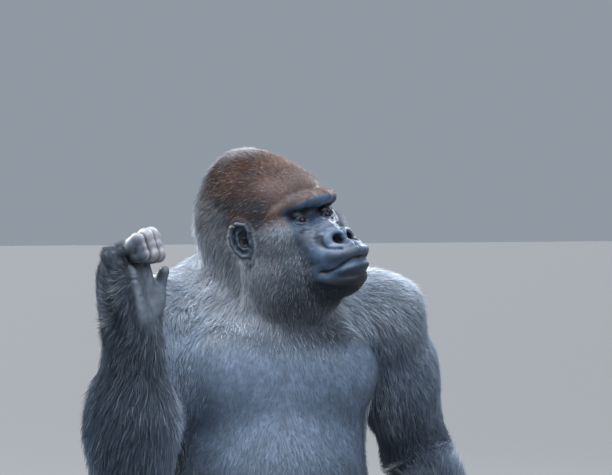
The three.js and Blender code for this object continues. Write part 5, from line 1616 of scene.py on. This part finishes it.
def makeNails():  # small curved black plates on the toes, thumbs and left fingers
    mesh = bpy.data.meshes.new("gorillaNails")
    bm = bmesh.new()
    for end, out, along, radius, half in nailPlaces():
        out, along = unit(out), unit(along)
        axes = np.array((np.cross(along, out) * half, along * half, out * nails["thick"])) / 1000
        m = matrixOf(axes, end + out * (radius - nails["sunk"]) - along * nails["back"])
        bmesh.ops.create_uvsphere(bm, u_segments=18, v_segments=10, radius=1.0, matrix=m)
    bmesh.ops.recalc_face_normals(bm, faces=bm.faces)
    for face in bm.faces:
        face.smooth = True
    bm.to_mesh(mesh)
    bm.free()
    return shown("gorillaNails", mesh)


def makeNailMaterial():  # horn: nearly black, with a satin shine
    material, t = newMaterial("darkNail")
    shader = t.add("ShaderNodeBsdfPrincipled", None, Base_Color=(*linear("#1b1919"), 1))
    shader.inputs["Roughness"].default_value = 0.38
    shader.inputs["IOR"].default_value = 1.55
    t.add("ShaderNodeOutputMaterial", None, Surface=shader.outputs[0])
    return material


gorillaNails = makeNails()
gorillaNails.data.materials.append(makeNailMaterial())
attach(gorillaNails, "root")


studio = {"floor": "#56585a", "floorHalf": 30, "sky": "#d5e2f0", "skyStrength": 0.42}
lights = {  # kind, place and aim in metres, size in metres or spread in degrees, power, colour
    "skyLight": ("SUN", (-0.9, -0.5, 4.0), (0, 0, 0), 60, 8.2, "#f0f4fc"),
    "rimLight": ("SUN", (-1.9, 2.2, 1.9), (0, 0, 0), 20, 4.2, "#fffaf4"),
    "keyLight": ("AREA", (-3.2, -2.4, 2.6), (0, 0, 0.7), 1.8, 22, "#f4f8ff"),
    "frontLight": ("AREA", (1.7, -3.4, 3.4), (0, 0, 0.7), 2.4, 130, "#f0f5ff"),
    "rimLightRight": ("AREA", (1.8, 1.6, 2.4), (0, 0, 0.8), 1.0, 75, "#f4f8ff"),
}


def makeFloor():
    mesh = bpy.data.meshes.new("floor")
    half = studio["floorHalf"]
    mesh.from_pydata([(-half, -half, 0), (half, -half, 0), (half, half, 0), (-half, half, 0)], [], [(0, 1, 2, 3)])
    material, t = newMaterial("paleFloor")
    shader = t.add("ShaderNodeBsdfPrincipled", None, Base_Color=(*linear(studio["floor"]), 1))
    shader.inputs["Roughness"].default_value = 0.9
    t.add("ShaderNodeOutputMaterial", None, Surface=shader.outputs[0])
    mesh.materials.append(material)
    shown("floor", mesh)


def makeStudio():
    world = bpy.data.worlds.new("studio")
    world.use_nodes = True
    background = world.node_tree.nodes["Background"]
    background.inputs[0].default_value = (*linear(studio["sky"]), 1)
    background.inputs[1].default_value = studio["skyStrength"]
    bpy.context.scene.world = world
    for name, (kind, at, target, size, power, colour) in lights.items():
        data = bpy.data.lights.new(name, kind)
        if kind == "AREA":
            data.shape = "DISK"
            data.size = size
        else:
            data.angle = math.radians(size)
        data.energy = power
        data.color = linear(colour)
        lamp = shown(name, data)
        lamp.location = at
        lamp.rotation_euler = (Vector(target) - Vector(at)).to_track_quat("-Z", "Y").to_euler()


camera = {"azimuth": -15.0, "elevation": 1.5, "lens": 135.0, "sensor": 36, "across": 92.0, "height": 910.0,
          "toward": 100.0, "mmPerPixel": 2.05, "pixelsWide": 612}


def makeCamera():
    a, e = math.radians(camera["azimuth"]), math.radians(camera["elevation"])
    back = np.array([math.sin(a) * math.cos(e), -math.cos(a) * math.cos(e), math.sin(e)])
    right = np.array([math.cos(a), math.sin(a), 0])
    far = camera["mmPerPixel"] * camera["pixelsWide"] * camera["lens"] / camera["sensor"]
    target = right * camera["across"] + np.array([0, 0, camera["height"]]) + back * camera["toward"]
    data = bpy.data.cameras.new("camera")
    data.lens = camera["lens"]
    data.sensor_width = camera["sensor"]
    obj = shown("camera", data)
    obj.matrix_world = matrixOf((right, np.cross(back, right), back), target + back * far)
    bpy.context.scene.camera = obj


makeFloor()
makeStudio()
makeCamera()
bpy.context.scene.view_settings.view_transform = "Standard"
stage("studio and camera")
